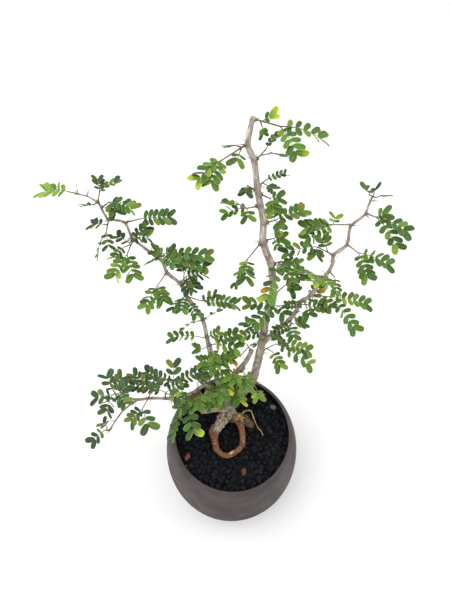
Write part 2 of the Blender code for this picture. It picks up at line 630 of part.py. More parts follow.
def thorn_pairs(collection, slabs):
    """A pair of thorns at every bend of a stem, where the spurs and leaf ribs leave room."""
    draw = random.Random(THORN_SEED)
    thorns = []
    bases = [spur_reach(row)[0] for row in SPRAYS]
    for stem, route in STEMS.items():
        points = route_points(route)
        for index in range(2, len(points)):
            foot = points[index]
            axis = (foot - points[index - 1]).normalized()
            around = Matrix.Rotation(draw.uniform(0, 2 * math.pi), 3, axis)
            side = around @ upright(axis)
            lengths = [draw.uniform(*THORN_LENGTHS) for _ in range(2)]
            if min((foot - base).length for base in bases) < THORN_CLEAR:
                continue
            for length, lean in zip(lengths, (-THORN_SPREAD, THORN_SPREAD)):
                outward = Matrix.Rotation(math.radians(lean), 3, axis) @ side
                direction = (outward + axis * THORN_FORWARD).normalized()
                start = foot + direction * max(0, route[index][3] * MM - THORN_SINK)
                line = [start, start + direction * (length + THORN_ROOM)]
                room = stalk_slabs(line, axis, THORN_ROOM, THORN_ROOM)[0]
                if not touches(room, slabs):
                    thorns.append(thorn("thorn", start, direction, length, collection))
    return thorns


def make_tree(collection, slabs):
    """Trunk, roots, stems, spurs and thorns, joined into one body."""
    bark = material("grey_bark", (0.33, 0.28, 0.23), 0.85)
    pieces = [route_tube("trunk", TRUNK, TRUNK_SIDES, collection)]
    for name, route in ROOTS.items():
        pieces.append(route_tube(name, route, STEM_SIDES, collection))
    for name, route in STEMS.items():
        pieces.append(route_tube(name, route, STEM_SIDES, collection))
    for row in SPRAYS:
        base, direction, radius, reach = spur_reach(row)
        spur_radius = max(SPUR_LEAST, SPUR_TO_STEM * radius)
        pieces.append(tube("spur", [base, base + direction * reach], [spur_radius, 0.8 * spur_radius],
                           TWIG_SIDES, collection))
    pieces += thorn_pairs(collection, slabs)
    return fuse("tree", pieces, collection, bark)


def section(bm, centre, side, width):
    """A cross-section of a stalk: its left point and its right point."""
    return bm.verts.new(centre + side * width / 2), bm.verts.new(centre - side * width / 2)


def join(bm, near, far):
    bm.faces.new((near[1], far[1], far[0], near[0]))
    return far


def branch_turn(axis, side, branch):
    """How far a branch turns to the left of its stalk, in the plane of the stalk's blade."""
    turn = math.atan2(branch.dot(side), branch.dot(axis))
    return max(-SHARPEST_TURN, min(SHARPEST_TURN, turn))


def branch_side(axis, side, branch, own_side):
    """A branch's own left side, or its right side where that twists the blade less."""
    turn = branch_turn(axis, side, branch)
    edge = side * math.cos(turn) - axis * math.sin(turn)
    return -own_side if own_side.dot(edge) < 0 else own_side


def from_left(rows, axis, side):
    """Branches in order from the left of their stalk to its right."""
    return sorted(rows, key=lambda row: -branch_turn(axis, side, heading(row["bearing"], row["rise"])))


def fork(bm, centre, axis, side, width, branches):
    """The end of a stalk, widened into a knuckle with one edge for each branch where it turns."""
    turns = [branch_turn(axis, side, branch["axis"]) for branch in branches]
    near = section(bm, centre - axis * KNUCKLE, side, width)
    if len(turns) == 1 and abs(turns[0]) < PLAIN_TURN:
        return near, [near]
    lefts = [turn + KNUCKLE_SPREAD for turn in turns]
    rights = [turn - KNUCKLE_SPREAD for turn in turns]
    for index in range(len(turns) - 1):
        if rights[index] < lefts[index + 1] + LEAST_NOTCH:
            rights[index] = lefts[index + 1] = (turns[index] + turns[index + 1]) / 2
    corners = {}
    for angle in sorted({*lefts, *rights}):
        corners[angle] = bm.verts.new(centre + (axis * math.cos(angle) + side * math.sin(angle)) * KNUCKLE)
    bm.faces.new((near[1], *corners.values(), near[0]))
    return near, [(corners[left], corners[right]) for left, right in zip(lefts, rights)]


def source_pairs(pairs, room):
    """How many leaflet pairs the solid keeps of the real number, along the room that a rib has."""
    return max(1, min(round(SOURCE_SHARE * pairs), 1 + int(room / LEAST_SPACING)))


def plan_pinna(start, row, parent, draw):
    """Where a pinna's rib runs, and the place and natural pose of each of its leaflets."""
    axis = heading(row["bearing"], row["rise"])
    up = upright(axis, row["roll"])
    side = branch_side(*parent, axis, up.cross(axis))
    full = LEAFLET_LENGTH * row["scale"]
    run = max(row["reach"] - TERMINAL_REACH * full, LEAST_RUN)
    first = max(FIRST_PAIR, CLEAR_OF_FORK / run)
    pairs = source_pairs(row["pairs"], run * (1 - first))
    spacing = run * (1 - first) / (pairs - 1) if pairs > 1 else LEAFLET_LENGTH
    half_root = axis * min(LEAFLET_ROOT / 2, 0.3 * spacing)
    line = [start]
    blades = []
    for pair in range(pairs):
        share = pair / (pairs - 1) if pairs > 1 else 1
        along = first + (1 - first) * share
        middle = start + axis * run * along + up * RIB_ARCH * row["reach"] * 4 * along * (1 - along)
        line.append(middle)
        length = full * (LEAFLET_START + (1 - LEAFLET_START) * share)
        angle = LEAFLET_ANGLES[0] + (LEAFLET_ANGLES[1] - LEAFLET_ANGLES[0]) * share
        crowded = LEAFLET_CROWDING * spacing * math.sin(math.radians(angle))
        for across in (side, -side):
            root = middle + across * RIB_WIDTH / 2
            blades.append({
                "root": (root - half_root, root + half_root), "axis": axis, "up": up, "across": across,
                "length": length, "width": min(LEAFLET_WIDTH * length / LEAFLET_LENGTH, crowded),
                "turn": angle + draw.uniform(-LEAFLET_SWAY, LEAFLET_SWAY),
                "lift": LEAFLET_LIFT + draw.uniform(-LEAFLET_SWAY, LEAFLET_SWAY),
                "terminal": pair == pairs - 1, "outline": None,
            })
    return {"line": line, "axis": axis, "up": up, "side": side, "half_root": half_root,
            "blades": blades}


def plan_leaf(start, row, parent, draw):
    """A leaf stalk's line, and its pinnae from left to right."""
    axis = heading(row["bearing"], row["rise"])
    side = branch_side(*parent, axis, upright(axis).cross(axis))
    end = start + axis * row["length"]
    rows = from_left(row["pinnae"], axis, side)
    pinnae = [plan_pinna(end, feather, (axis, side), draw) for feather in rows]
    return {"line": [start, end], "axis": axis, "side": side, "pinnae": pinnae}


def plan_spray(row, draw):
    """The leaves of one spray, from left to right, from a knuckle just off the end of the spur."""
    base, axis, radius, reach = spur_reach(row)
    start = base + axis * (reach + GAP + KNUCKLE)
    side = upright(axis).cross(axis)
    rows = from_left(row["leaves"], axis, side)
    leaves = [plan_leaf(start, stalk, (axis, side), draw) for stalk in rows]
    return {"name": row["name"], "start": start, "axis": axis, "side": side, "leaves": leaves}


def slab(outline, normal, thickness):
    """A prism about a flat outline: its centre, its reach and a tree of its faces."""
    count = len(outline)
    corners = [point + normal * thickness / 2 for point in outline]
    corners += [point - normal * thickness / 2 for point in outline]
    faces = [tuple(range(count)), tuple(range(2 * count - 1, count - 1, -1))]
    faces += [(at, (at + 1) % count, (at + 1) % count + count, at + count) for at in range(count)]
    centre = sum(corners, Vector()) / len(corners)
    reach = max((corner - centre).length for corner in corners)
    return centre, reach, BVHTree.FromPolygons(corners, faces)


def stalk_slabs(line, normal, width, thickness):
    """A slab about each straight length of a stalk or rib."""
    slabs = []
    for start, end in zip(line, line[1:]):
        across = normal.cross(end - start).normalized() * width / 2
        square = (end - start).normalized().cross(across).normalized()
        slabs.append(slab([start + across, end + across, end - across, start - across], square, thickness))
    return slabs


def knuckle_slab(centre, axis, side):
    """A slab about a knuckle, which may stand on its corner."""
    corners = [centre + way * KNUCKLE for way in (axis, side, -axis, -side)]
    return slab(corners, axis.cross(side), BLADE_THICKNESS)


def touches(shape, others):
    """Whether a shape meets any of the others."""
    centre, reach, tree = shape
    for other_centre, other_reach, other_tree in others:
        if (centre - other_centre).length < reach + other_reach and tree.overlap(other_tree):
            return True
    return False


def leaflet_outline(blade, lift, stretch):
    """The five corners of a leaflet from its root's near end round by its tip."""
    turn = math.radians(blade["turn"])
    lift = math.radians(lift)
    sideways = blade["across"] * math.cos(lift) + blade["up"] * math.sin(lift)
    outward = blade["axis"] * math.cos(turn) + sideways * math.sin(turn)
    ahead = blade["axis"] * math.sin(turn) - sideways * math.cos(turn)
    length = blade["length"] * stretch
    near, far = blade["root"]
    root = (near + far) / 2
    shoulder = root + outward * length * LEAFLET_SHOULDER
    half = ahead * blade["width"] / 2
    return [near, far, shoulder + half, root + outward * length, shoulder - half]


def grown(outline, margin):
    """An outline made wider by a margin all round."""
    centre = sum(outline, Vector()) / len(outline)
    return [point + (point - centre).normalized() * margin for point in outline]


def settle_leaflet(blade, taken, pinna_slabs):
    """Give a leaflet the first pose that is clear of everything near it, or none."""
    for stretch in CLEARING_LENGTHS:
        for extra in CLEARING_LIFTS:
            outline = leaflet_outline(blade, blade["lift"] + extra, stretch)
            normal = (outline[2] - outline[0]).cross(outline[3] - outline[1]).normalized()
            room = slab(grown(outline, GAP), normal, BLADE_THICKNESS + 2 * GAP)
            others = [shape for shape in taken if not any(shape is own for own in pinna_slabs)]
            if not touches(room, others):
                blade["outline"] = outline
                taken.append(slab(outline, normal, BLADE_THICKNESS))
                return


def plan_leaves():
    """Every spray's plan, before its leaflets are settled, and the slabs of all stalks and ribs."""
    draw = random.Random(LEAF_SEED)
    plans = [plan_spray(row, draw) for row in SPRAYS]
    slabs = []
    for plan in plans:
        slabs.append(knuckle_slab(plan["start"], plan["axis"], plan["side"]))
        for stalk in plan["leaves"]:
            face = stalk["axis"].cross(stalk["side"])
            slabs.append(knuckle_slab(stalk["line"][1], stalk["axis"], stalk["side"]))
            slabs += stalk_slabs(stalk["line"], face, STALK_WIDTH, BLADE_THICKNESS)
            for feather in stalk["pinnae"]:
                feather["slabs"] = stalk_slabs(feather["line"], feather["up"], RIB_WIDTH, BLADE_THICKNESS)
                slabs += feather["slabs"]
    return plans, slabs


def settle_leaflets(plans, slabs, tree):
    """Pose all leaflets clear of the tree and of each other, the terminal ones first."""
    taken = slabs + [tree]
    for terminal in (True, False):
        for plan in plans:
            for stalk in plan["leaves"]:
                for feather in stalk["pinnae"]:
                    for blade in feather["blades"]:
                        if blade["terminal"] == terminal:
                            settle_leaflet(blade, taken, feather["slabs"])


def tree_shape(tree):
    """The tree as a shape to keep clear of."""
    corners = [vert.co.copy() for vert in tree.data.vertices]
    faces = [tuple(face.vertices) for face in tree.data.polygons]
    centre = sum(corners, Vector()) / len(corners)
    reach = max((corner - centre).length for corner in corners)
    return centre, reach, BVHTree.FromPolygons(corners, faces)


def grow_pinna(bm, near, plan):
    """A rib with its leaflets, as one folded sheet."""
    for pair, middle in enumerate(plan["line"][1:]):
        low = section(bm, middle - plan["half_root"], plan["side"], RIB_WIDTH)
        high = section(bm, middle + plan["half_root"], plan["side"], RIB_WIDTH)
        near = join(bm, join(bm, near, low), high)
        for hand in (0, 1):
            outline = plan["blades"][2 * pair + hand]["outline"]
            if outline:
                corners = [low[hand], high[hand]] + [bm.verts.new(corner) for corner in outline[2:]]
                bm.faces.new(corners if hand == 0 else corners[::-1])


def grow_leaf(bm, near, plan):
    """A leaf stalk with its pinnae."""
    end, starts = fork(bm, plan["line"][1], plan["axis"], plan["side"], STALK_WIDTH, plan["pinnae"])
    join(bm, near, end)
    for edge, feather in zip(starts, plan["pinnae"]):
        grow_pinna(bm, edge, feather)


def make_spray(plan, collection, finish):
    """All the leaves of one spur, as one thin blade cut to the rib between leaflets."""
    bm = bmesh.new()
    foot, starts = fork(bm, plan["start"], plan["axis"], plan["side"], STALK_WIDTH, plan["leaves"])
    for edge, stalk in zip(starts, plan["leaves"]):
        grow_leaf(bm, edge, stalk)
    bmesh.ops.triangulate(bm, faces=bm.faces)
    mesh = bpy.data.meshes.new(plan["name"])
    bm.to_mesh(mesh)
    bm.free()
    thing = add_object("leaves_" + plan["name"], mesh, collection, finish)
    thicken = thing.modifiers.new("Thicken", "SOLIDIFY")
    thicken.thickness = BLADE_THICKNESS
    thicken.offset = 0
    return thing


def new_collection(name):
    collection = bpy.data.collections.new(name)
    bpy.context.scene.collection.children.link(collection)
    return collection


def main():
    for thing in list(bpy.data.objects):
        bpy.data.objects.remove(thing, do_unlink=True)
    parts = new_collection(OBJECT_NAME)
    cutters = new_collection("cutters")
    trunk_hole = cylinder_cutter("trunk_hole", TRUNK_FOOT, TRUNK_HOLE, TRUNK_DEPTH, POT_HEIGHT, cutters,
                                 TRUNK_HOLE_SIDES)
    root_hole = cylinder_cutter("root_hole", ROOT_FOOT, ROOT_HOLE, ROOT_DEPTH, POT_HEIGHT, cutters)
    make_pot(parts, cutters)
    make_drainage_mesh(parts)
    make_soil(parts, cutters, (trunk_hole, root_hole))
    make_gravel(parts, cutters, (trunk_hole, root_hole))
    make_chips(parts)
    plans, slabs = plan_leaves()
    tree = make_tree(parts, slabs)
    settle_leaflets(plans, slabs, tree_shape(tree))
    green = material("leaf_green", (0.09, 0.20, 0.045), 0.55)
    for plan in plans:
        make_spray(plan, parts, green)


main()
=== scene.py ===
"""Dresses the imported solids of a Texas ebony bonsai: its pot, gravel, wood and leaves.

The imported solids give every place. The pot, the wood and each spray of leaves are made again in
finer form where their solids stand, and the drainage mesh, the potting mix and the bed of gravel
keep their solids. Some sprays bear a leaf or two more here than in their solids. Sizes are in
millimetres where a table says so, and otherwise in metres.
"""

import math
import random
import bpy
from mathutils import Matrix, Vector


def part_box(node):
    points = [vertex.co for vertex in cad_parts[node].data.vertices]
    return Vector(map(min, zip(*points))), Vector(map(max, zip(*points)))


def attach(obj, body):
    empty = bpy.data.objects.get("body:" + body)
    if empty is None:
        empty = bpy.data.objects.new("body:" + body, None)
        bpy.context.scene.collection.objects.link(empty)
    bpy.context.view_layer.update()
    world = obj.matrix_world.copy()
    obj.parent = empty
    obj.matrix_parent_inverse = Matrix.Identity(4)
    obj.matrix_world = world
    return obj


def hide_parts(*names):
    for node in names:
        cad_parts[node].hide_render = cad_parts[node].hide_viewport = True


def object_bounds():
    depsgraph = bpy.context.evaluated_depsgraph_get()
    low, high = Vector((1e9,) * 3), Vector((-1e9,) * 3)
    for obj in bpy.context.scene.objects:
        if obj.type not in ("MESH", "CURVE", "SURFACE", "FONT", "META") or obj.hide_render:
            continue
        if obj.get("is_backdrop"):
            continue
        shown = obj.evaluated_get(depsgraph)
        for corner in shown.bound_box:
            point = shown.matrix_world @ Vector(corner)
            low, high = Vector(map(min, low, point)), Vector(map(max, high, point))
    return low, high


bl_info = {
    "name": "Texas Ebony Bonsai",
    "version": (1, 0, 0),
    "blender": (4, 5, 0),
    "location": "3D View > Sidebar > Bonsai",
    "description": "Dresses the packed solids of a potted Texas ebony bonsai",
    "category": "Add Mesh",
}

import bmesh
import bpy
from bpy.props import FloatProperty, FloatVectorProperty, IntProperty, PointerProperty
from mathutils import Matrix, Vector, noise
from mathutils.kdtree import KDTree

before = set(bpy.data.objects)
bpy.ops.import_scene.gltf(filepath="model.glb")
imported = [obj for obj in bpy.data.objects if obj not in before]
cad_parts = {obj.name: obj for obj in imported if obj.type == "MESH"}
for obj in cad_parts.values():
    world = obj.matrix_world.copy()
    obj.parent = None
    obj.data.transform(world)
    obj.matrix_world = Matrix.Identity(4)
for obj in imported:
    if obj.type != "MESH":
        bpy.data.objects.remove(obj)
CAD_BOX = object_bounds()

MM = 0.001
BLACK = (0.0, 0.0, 0.0)
JOIN = 0.01 * MM


def paint(red, green, blue):
    """A colour as seen on a screen, from 0 to 255, as the linear values that shaders use."""
    parts = [value / 255 for value in (red, green, blue)]
    return tuple(part / 12.92 if part <= 0.04045 else ((part + 0.055) / 1.055) ** 2.4 for part in parts)


# The pot, whose wall follows half an ellipse above its widest ring and half of one below
POT_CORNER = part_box("pot")[1]
POT_HEIGHT = POT_CORNER.z
WIDEST_RADIUS = POT_CORNER.x
WIDEST_HEIGHT = POT_HEIGHT / 2
MOUTH_RADIUS = 62 * MM
FOOT_RADIUS = 53 * MM
WALL = 3 * MM
FLOOR = 6 * MM
LIP_ROUND = 1.2 * MM
LIP_ANGLES = (15, 40, 65, 90, 115, 140, 165)
FOOT_ROUND = 3 * MM
FOOT_ANGLES = (30, 60, 90)
FOOT_TUCK = 0.8 * FOOT_ROUND
INSIDE_STEPS = 14
OUTSIDE_STEPS = 22
DRAIN_RADIUS = 4.5 * MM
DRAIN_CIRCLE = 24 * MM
DRAIN_HOLES = 3
DRAIN_SIDES = 32
DRILL_DEPTH = 4 * FLOOR
SHARP_ANGLE = 50
# Painted shade: the pot's clay darkens towards the foot, from nothing at the first height to this share at
# the second
FOOT_PAINTED_SHADE = 0.72
FOOT_PAINTED_SHADE_HEIGHTS = (116 * MM, 50 * MM)

# The gravel
GRAVEL_TOP = 130.5 * MM
GRAVEL_REACH = 59 * MM
TRUNK_FOOT = Vector((0, 19, 0)) * MM
TRUNK_ROOM = 7 * MM
PEBBLE_SEED = 3
PEBBLE_JITTER = 0.22
PEBBLE_WIDTHS = (0.62, 0.95)
PEBBLE_HEIGHTS = (0.45, 0.75)
PEBBLE_LEVELS = (-0.4 * MM, 0.9 * MM)
PEBBLE_CORNERS = 15
PEBBLE_SHADE = (0.3, 1.7)
LOOSE_SHARE = 0.3
LOOSE_SHIFT = 2.2 * MM
LOOSE_RISE = 2.4 * MM
RUSTY_SHARE = 0.06
RUST = 1.35
PALE_PEBBLES = ((43, 31), (-47, -32))
PALE_ROOM = 0.5
STONE_REACHES = (0.78, 1.05)
STONE_TURN = 137.5
STONE_SWAY = 25
STONE_TILT = 0.5
CHIPS = {
    "red_chip_left": (paint(114, 68, 56), 65),
    "red_chip_front": (paint(126, 76, 62), 75),
}
CHIP_FORM = (1.08, 0.7, 1.2)
CHIP_CORNERS = 22
CHIP_EDGE = 0.35 * MM
CHIP_ROOM = 6.8 * MM

# Stems and roots, each a route of (x, y, z, radius) in millimetres
TRUNK = (
    (0, 19, 90.3, 4.5), (0, 19, 112, 6.2), (0, 19, 133, 6.6), (-1, 18, 140, 6.2), (-2, 20, 147, 5.4),
    (-2, 22, 158, 5.1), (2, 25, 164, 4.8),
)
STEMS = {
    "middle": (
        (-1, 22, 160, 4.8), (11, 31, 170, 4.5), (20, 39, 181, 4.3), (25, 51, 212, 4.0),
        (28, 61, 243, 3.7), (29, 67, 258, 3.5), (33, 71, 285, 3.3), (29, 79, 318, 3.1),
        (20, 82, 345, 2.9), (20, 88, 359, 2.7), (14, 96, 384, 2.5), (11, 103, 403, 2.3),
        (6, 107, 414, 2.1), (9, 115, 430, 1.9),
    ),
    "right": (
        (28, 56, 229, 2.6), (33, 58, 237, 2.5), (41, 61, 249, 2.3), (48, 63, 257, 2.2),
        (55, 67, 269, 2.1), (57, 70, 279, 2.0), (64, 70, 288, 1.9), (71, 75, 302, 1.8),
        (75, 77, 309, 1.7), (79, 81, 318, 1.6), (78, 83, 328, 1.6), (86, 83, 340, 1.4),
        (86, 88, 356, 1.3), (94, 89, 367, 1.1), (96, 93, 377, 0.9),
    ),
    "left": (
        (-4, 26, 163, 2.6), (-12, 32, 178, 2.6), (-20, 43, 205, 2.4), (-25, 57, 236, 2.1),
        (-29, 66, 258, 1.9), (-44, 76, 283, 1.8), (-47, 80, 291, 1.7), (-58, 83, 303, 1.6),
        (-61, 88, 311, 1.5), (-70, 90, 321, 1.4), (-83, 93, 335, 1.3), (-87, 97, 349, 1.2),
        (-99, 95, 355, 1.1), (-104, 100, 366, 1.0), (-111, 101, 372, 0.8), (-117, 100, 375, 0.8),
    ),
    "low": (
        (-7, 24, 160, 2.4), (-19, 30, 178, 2.2), (-30, 30, 187, 2.0), (-40, 20, 193, 1.8),
        (-59, 11, 202, 1.6), (-76, 9, 208, 1.4), (-89, 6, 211, 1.3), (-98, 7, 214, 1.1),
        (-106, 6, 216, 0.9),
    ),
    "low_fork": ((-89, 6, 211, 1.1), (-102, -2, 204, 1.0), (-109, -10, 199, 0.9), (-114, -18, 195, 0.8)),
    "stub": (
        (1, 23, 160, 3.2), (-1, 28, 168, 2.9), (-4, 37, 184, 2.6), (5, 43, 197, 2.5), (12, 47, 207, 2.4),
        (18, 53, 221, 2.0),
    ),
}
ROOTS = {
    "loop": (
        (-6, 16, 142.5, 5.4), (-11, 10, 141.5, 5.6), (-14, 4.5, 140, 4.2), (-17, -1, 139, 3.5),
        (-18, -9, 138, 3.4), (-16, -18, 137, 3.1), (-10, -23, 136.5, 2.8), (-4, -24, 136.5, 2.7),
        (4, -20, 137, 2.9), (10, -14, 137.5, 3.0), (11, -6, 138, 3.1), (10, 2, 139, 3.3), (7, 13, 140, 3.6),
    ),
    "right_root": (
        (1, 15, 141, 5.0), (9, 14, 140.5, 4.6), (15, 12, 138.5, 4.4), (19, 9.5, 135, 4.1),
        (20.5, 8.5, 130, 3.7), (20.5, 8.5, 108.4, 2.6),
    ),
    "outer_root": ((-11, 10, 140, 2.8), (-20, 5, 138, 2.4), (-22.5, -2, 136.8, 2.1), (-19, -9, 137, 1.9)),
    "wiry_root": (
        (8, 16, 142, 1.0), (14, 20.5, 144.5, 0.8), (20, 20.5, 144, 0.8), (23, 13, 141, 0.75),
        (27, 5, 137.5, 0.7), (31, 1, 135.5, 0.65), (32.5, -3, 134.5, 0.6),
    ),
    "cut_root": ((-2, 20, 150, 2.7), (-19, 19, 150, 2.5), (-33, 17, 150, 2.3)),
}

# Wood
WOOD_SIDES = 12
BEND = 0.22
BEND_STEPS = 3
WOOD_GRAIN = 0.55 * MM
WOOD_SMOOTHINGS = 2
TONE_STEP = 1.5 * MM
TONES = {
    "trunk": (paint(176, 164, 146), paint(172, 160, 144)),
    "middle": (paint(160, 149, 134), paint(216, 207, 194)),
    "right": (paint(196, 188, 178), paint(190, 176, 162)),
    "left": (paint(194, 186, 176), paint(190, 176, 162)),
    "low": (paint(192, 184, 172), paint(184, 170, 154)),
    "low_fork": (paint(172, 156, 138), paint(158, 138, 118)),
    "stub": (paint(166, 158, 148), paint(178, 168, 154)),
    "knob": (paint(198, 186, 164), paint(184, 172, 150)),
    "loop": (paint(184, 170, 152), paint(132, 86, 50)),
    "right_root": (paint(126, 100, 70), paint(84, 48, 38)),
    "outer_root": (paint(134, 104, 78), paint(112, 76, 52)),
    "wiry_root": (paint(180, 146, 104), paint(184, 148, 104)),
    "cut_root": (paint(200, 176, 150), paint(214, 188, 162)),
    "spur": (paint(128, 108, 92), paint(92, 70, 56)),
    "rootlet": (paint(184, 150, 102), paint(176, 140, 92)),
}
TONES_NEAR = 14
TONE_BLUR = 0.5 * MM
LOOP_BARE = 0.2
GRAIN_STRETCH = 0.12
BLOTCH = 3 * MM
NODE_TONE = paint(88, 66, 54)
NODE_REACH = 3.4 * MM
NODE_DEPTH = 0.75
FADE = 1.6
CUT_FULL = 2
CUT_ENDS = {
    "middle": (paint(232, 214, 180), 2.2 * MM),
    "cut_root": (paint(190, 112, 60), 3 * MM),
    "stub": (paint(188, 164, 132), 2 * MM),
}
COARSE_BARK = 4.5 * MM
FINE_BARK = 0.9 * MM
KNOT_LUMPS = (2.8 * MM, 1.3 * MM)
ROUGH_PLACES = (((-9, 12, 144), 15), ((12, 12, 142), 13))
# Painted shade in the bark's hollows and painted light on its ridges, by this strength and within this range
HOLLOW_PAINTED_SHADE = 0.3
HOLLOW_PAINTED_SHADE_RANGE = (0.4, 1.3)
ROOTLETS = (
    ((2, 12, 146.5, 0.5), (5, 9.5, 146, 0.45), (8, 10.5, 145.5, 0.4), (11, 9, 145, 0.4), (13, 11, 144, 0.3)),
    ((1, 13, 148, 0.45), (3, 9.2, 146.5, 0.4), (3.5, 7.5, 143, 0.4), (4.5, 8, 140, 0.3)),
    ((6, 16, 146, 0.4), (8.5, 12, 146, 0.4), (12, 10, 144.8, 0.35), (15, 8, 142.5, 0.3)),
    ((3, 17, 148.5, 0.4), (7, 14.5, 147.2, 0.35), (10, 13.5, 145.8, 0.35), (13.5, 14, 143.5, 0.3)),
)
KNOBS = (
    (-13, 13, 143.5, 3.4), (-8.5, 15, 146, 3.2), (-14.5, 8.5, 142.5, 3.0), (-7, 10.5, 145, 3.4),
    (-10.5, 7, 143, 2.8), (-4, 13.5, 147.5, 2.8), (-11.5, 11, 146, 2.6),
)
KNOB_STEPS = 2
SCAR = Vector((-1.3, -21, 139)) * MM
SCAR_REACH = 3.2 * MM
SCAR_TONE = paint(222, 196, 144)
SPUR_LENGTH = 2 * MM
SPUR_TO_STEM = 0.55
SPUR_BEND = 0.6
SPUR_SHORT = 0.4 * MM
SPUR_TAPER = 0.9
SPUR_RADII = (0.7 * MM, 1.6 * MM)
THORN_SEED = 11
THORN_SIDES = 6
THORN_RADIUS = 0.42 * MM
THORN_POINT = 0.12 * THORN_RADIUS
THORN_LENGTHS = (6 * MM, 10 * MM)
SPUR_THORN_LENGTHS = (3 * MM, 6 * MM)
THORN_SINK = 1 * MM
THORN_SPREAD = 35
THORN_FORWARD = 0.35

# Leaves
LEAF_SEED = 5
GAP = 0.3 * MM
KNUCKLE = 0.9 * MM
STALK_RADII = (0.6 * MM, 0.45 * MM)
STALK_SIDES = 6
RIB_RADII = (0.42 * MM, 0.2 * MM)
RIB_ARCH = 0.07
RIB_STEPS = 5
FIRST_PAIR = 0.2
CLEAR_OF_FORK = 2.6 * MM
LEAST_RUN = 5 * MM
TERMINAL_REACH = 0.75
PAIR_ROOM = 0.92
TERMINAL_ROOM = 1.5
LEAFLET_START = 0.64
LEAFLET_GROWTH = (0.92, 1.06)
LEAFLET_WIDTHS = (0.88, 1.12)
LEAST_SLIMNESS = 0.5
LEAFLET_ANGLES = (72, 44)
LEAFLET_LIFT = 8
LEAFLET_SWAY = 7
LEAFLET_TWIST = 9
TWIST_SHARES = (0.3, 1.4)
TURNED_SHARE = 0.22
TURNED_TWIST = (25, 62)
BLADE_ROWS = 7
BLADE_COLUMNS = 4
BLADE_FULLNESS = 0.72
BLADE_SHOULDERS = (0.86, 0.2)
BLADE_FOLDS = (0.06, 0.26)
BLADE_DROOPS = (0.02, 0.12)
BLADE_CUPS = (-0.06, 0.06)
MOODS = {
    "green": (paint(90, 128, 38), paint(46, 88, 28)),
    "deep": (paint(64, 108, 40), paint(34, 76, 30)),
    "dark": (paint(38, 80, 42), paint(20, 54, 32)),
    "pale": (paint(128, 160, 72), paint(92, 130, 52)),
    "fresh": (paint(140, 164, 66), paint(98, 136, 48)),
}
SPRAYS_BY_MOOD = {
    "dark": (
        "upper_right", "tiny_right", "upper_left", "left_tip_up", "left_hang_outer", "left_node",
        "left_dark", "low_up", "low_tip", "low_mid", "low_row", "low_fork_tip", "right_tip"),
    "deep": (
        "right_end", "right_inner", "left_upper", "left_mid_right", "mid_left", "right_inward",
        "centre_right", "left_arc", "right_low", "right_middle", "low_hanging", "left_right",
        "low_edge"),
    "pale": ("right_pale",),
    "fresh": ("left_tip", "fork_front"),
}
SPRAY_MOODS = {name: mood for mood, names in SPRAYS_BY_MOOD.items() for name in names}
LEAFLET_SHADE = (0.64, 1.35)
YOUNG = paint(160, 176, 44)
YOUNG_SHARE = 0.45
YELLOW = paint(206, 196, 46)
LIME = paint(168, 190, 40)
ORANGE = paint(214, 136, 34)
BROWN = paint(150, 104, 50)
AGED_STEP = 2.6
AGED = (
    ((22, 111, 437), LIME, 0.2), ((22, 104, 437), LIME, 0.2), ((-25, 76, 407), LIME, 0.2),
    ((-30, 82, 407), LIME, 0.2), ((40, 90, 421), LIME, 0.2), ((35, 88, 346), YELLOW, 0.2),
    ((49, 100, 362), BROWN, 0.2), ((75, 76, 288), ORANGE, 0.2), ((23, 59, 314), ORANGE, 0.2),
    ((22, 54, 310), LIME, 0.2), ((-99, 80, 327), YELLOW, 0.2), ((-92, 66, 323), LIME, 0.2),
    ((-14, 47, 237), ORANGE, 0.2), ((-9, 53, 215), YELLOW, 0.2), ((0, 44, 212), ORANGE, 0.2),
    ((-1, 31, 184), YELLOW, 0.8), ((-1, 25, 184), YELLOW, 0.2), ((3, 25, 178), LIME, 0.2),
    ((-33, -14, 182), LIME, 0.2), ((-34, 12, 196), YELLOW, 0.4), ((-39, 55, 242), LIME, 0.2),
    ((6, 44, 193), ORANGE, 0.2), ((21, 22, 183), LIME, 0.2), ((-3, 23, 191), YELLOW, 0.8),
    ((11, 18, 175), YELLOW, 0.5), ((1, 39, 205), ORANGE, 0.4), ((64, 63, 315), LIME, 0.5),
)

# The studio
FLOOR_SIZE = 3
LIGHT_TARGET = (0, 0.05, 0.2)
KEY_PLACE = (-0.8, -0.15, 1.8)
KEY_SIZE = 1.7
SIDE_PLACE = (1.3, 0.3, 1.2)
SIDE_SIZE = 1.2
SIDE_SHARE = 0.35


def pinna(bearing, rise, reach, pairs, scale=1.0, roll=0):
    """One feather of a leaf: degrees round from +X, degrees above level, and its reach in mm."""
    return {"bearing": bearing, "rise": rise, "reach": reach * MM, "pairs": pairs,
            "scale": scale, "roll": roll}


def leaf(bearing, rise, length, *pinnae):
    """A leaf stalk, with the pinnae that fork at its end."""
    return {"bearing": bearing, "rise": rise, "length": length * MM, "pinnae": pinnae}


def spray(name, stem, along, spur, leaves):
    """A spray of leaves on a spur, at a distance in mm along its stem."""
    return {"name": name, "stem": stem, "along": along * MM, "spur": spur, "leaves": leaves}


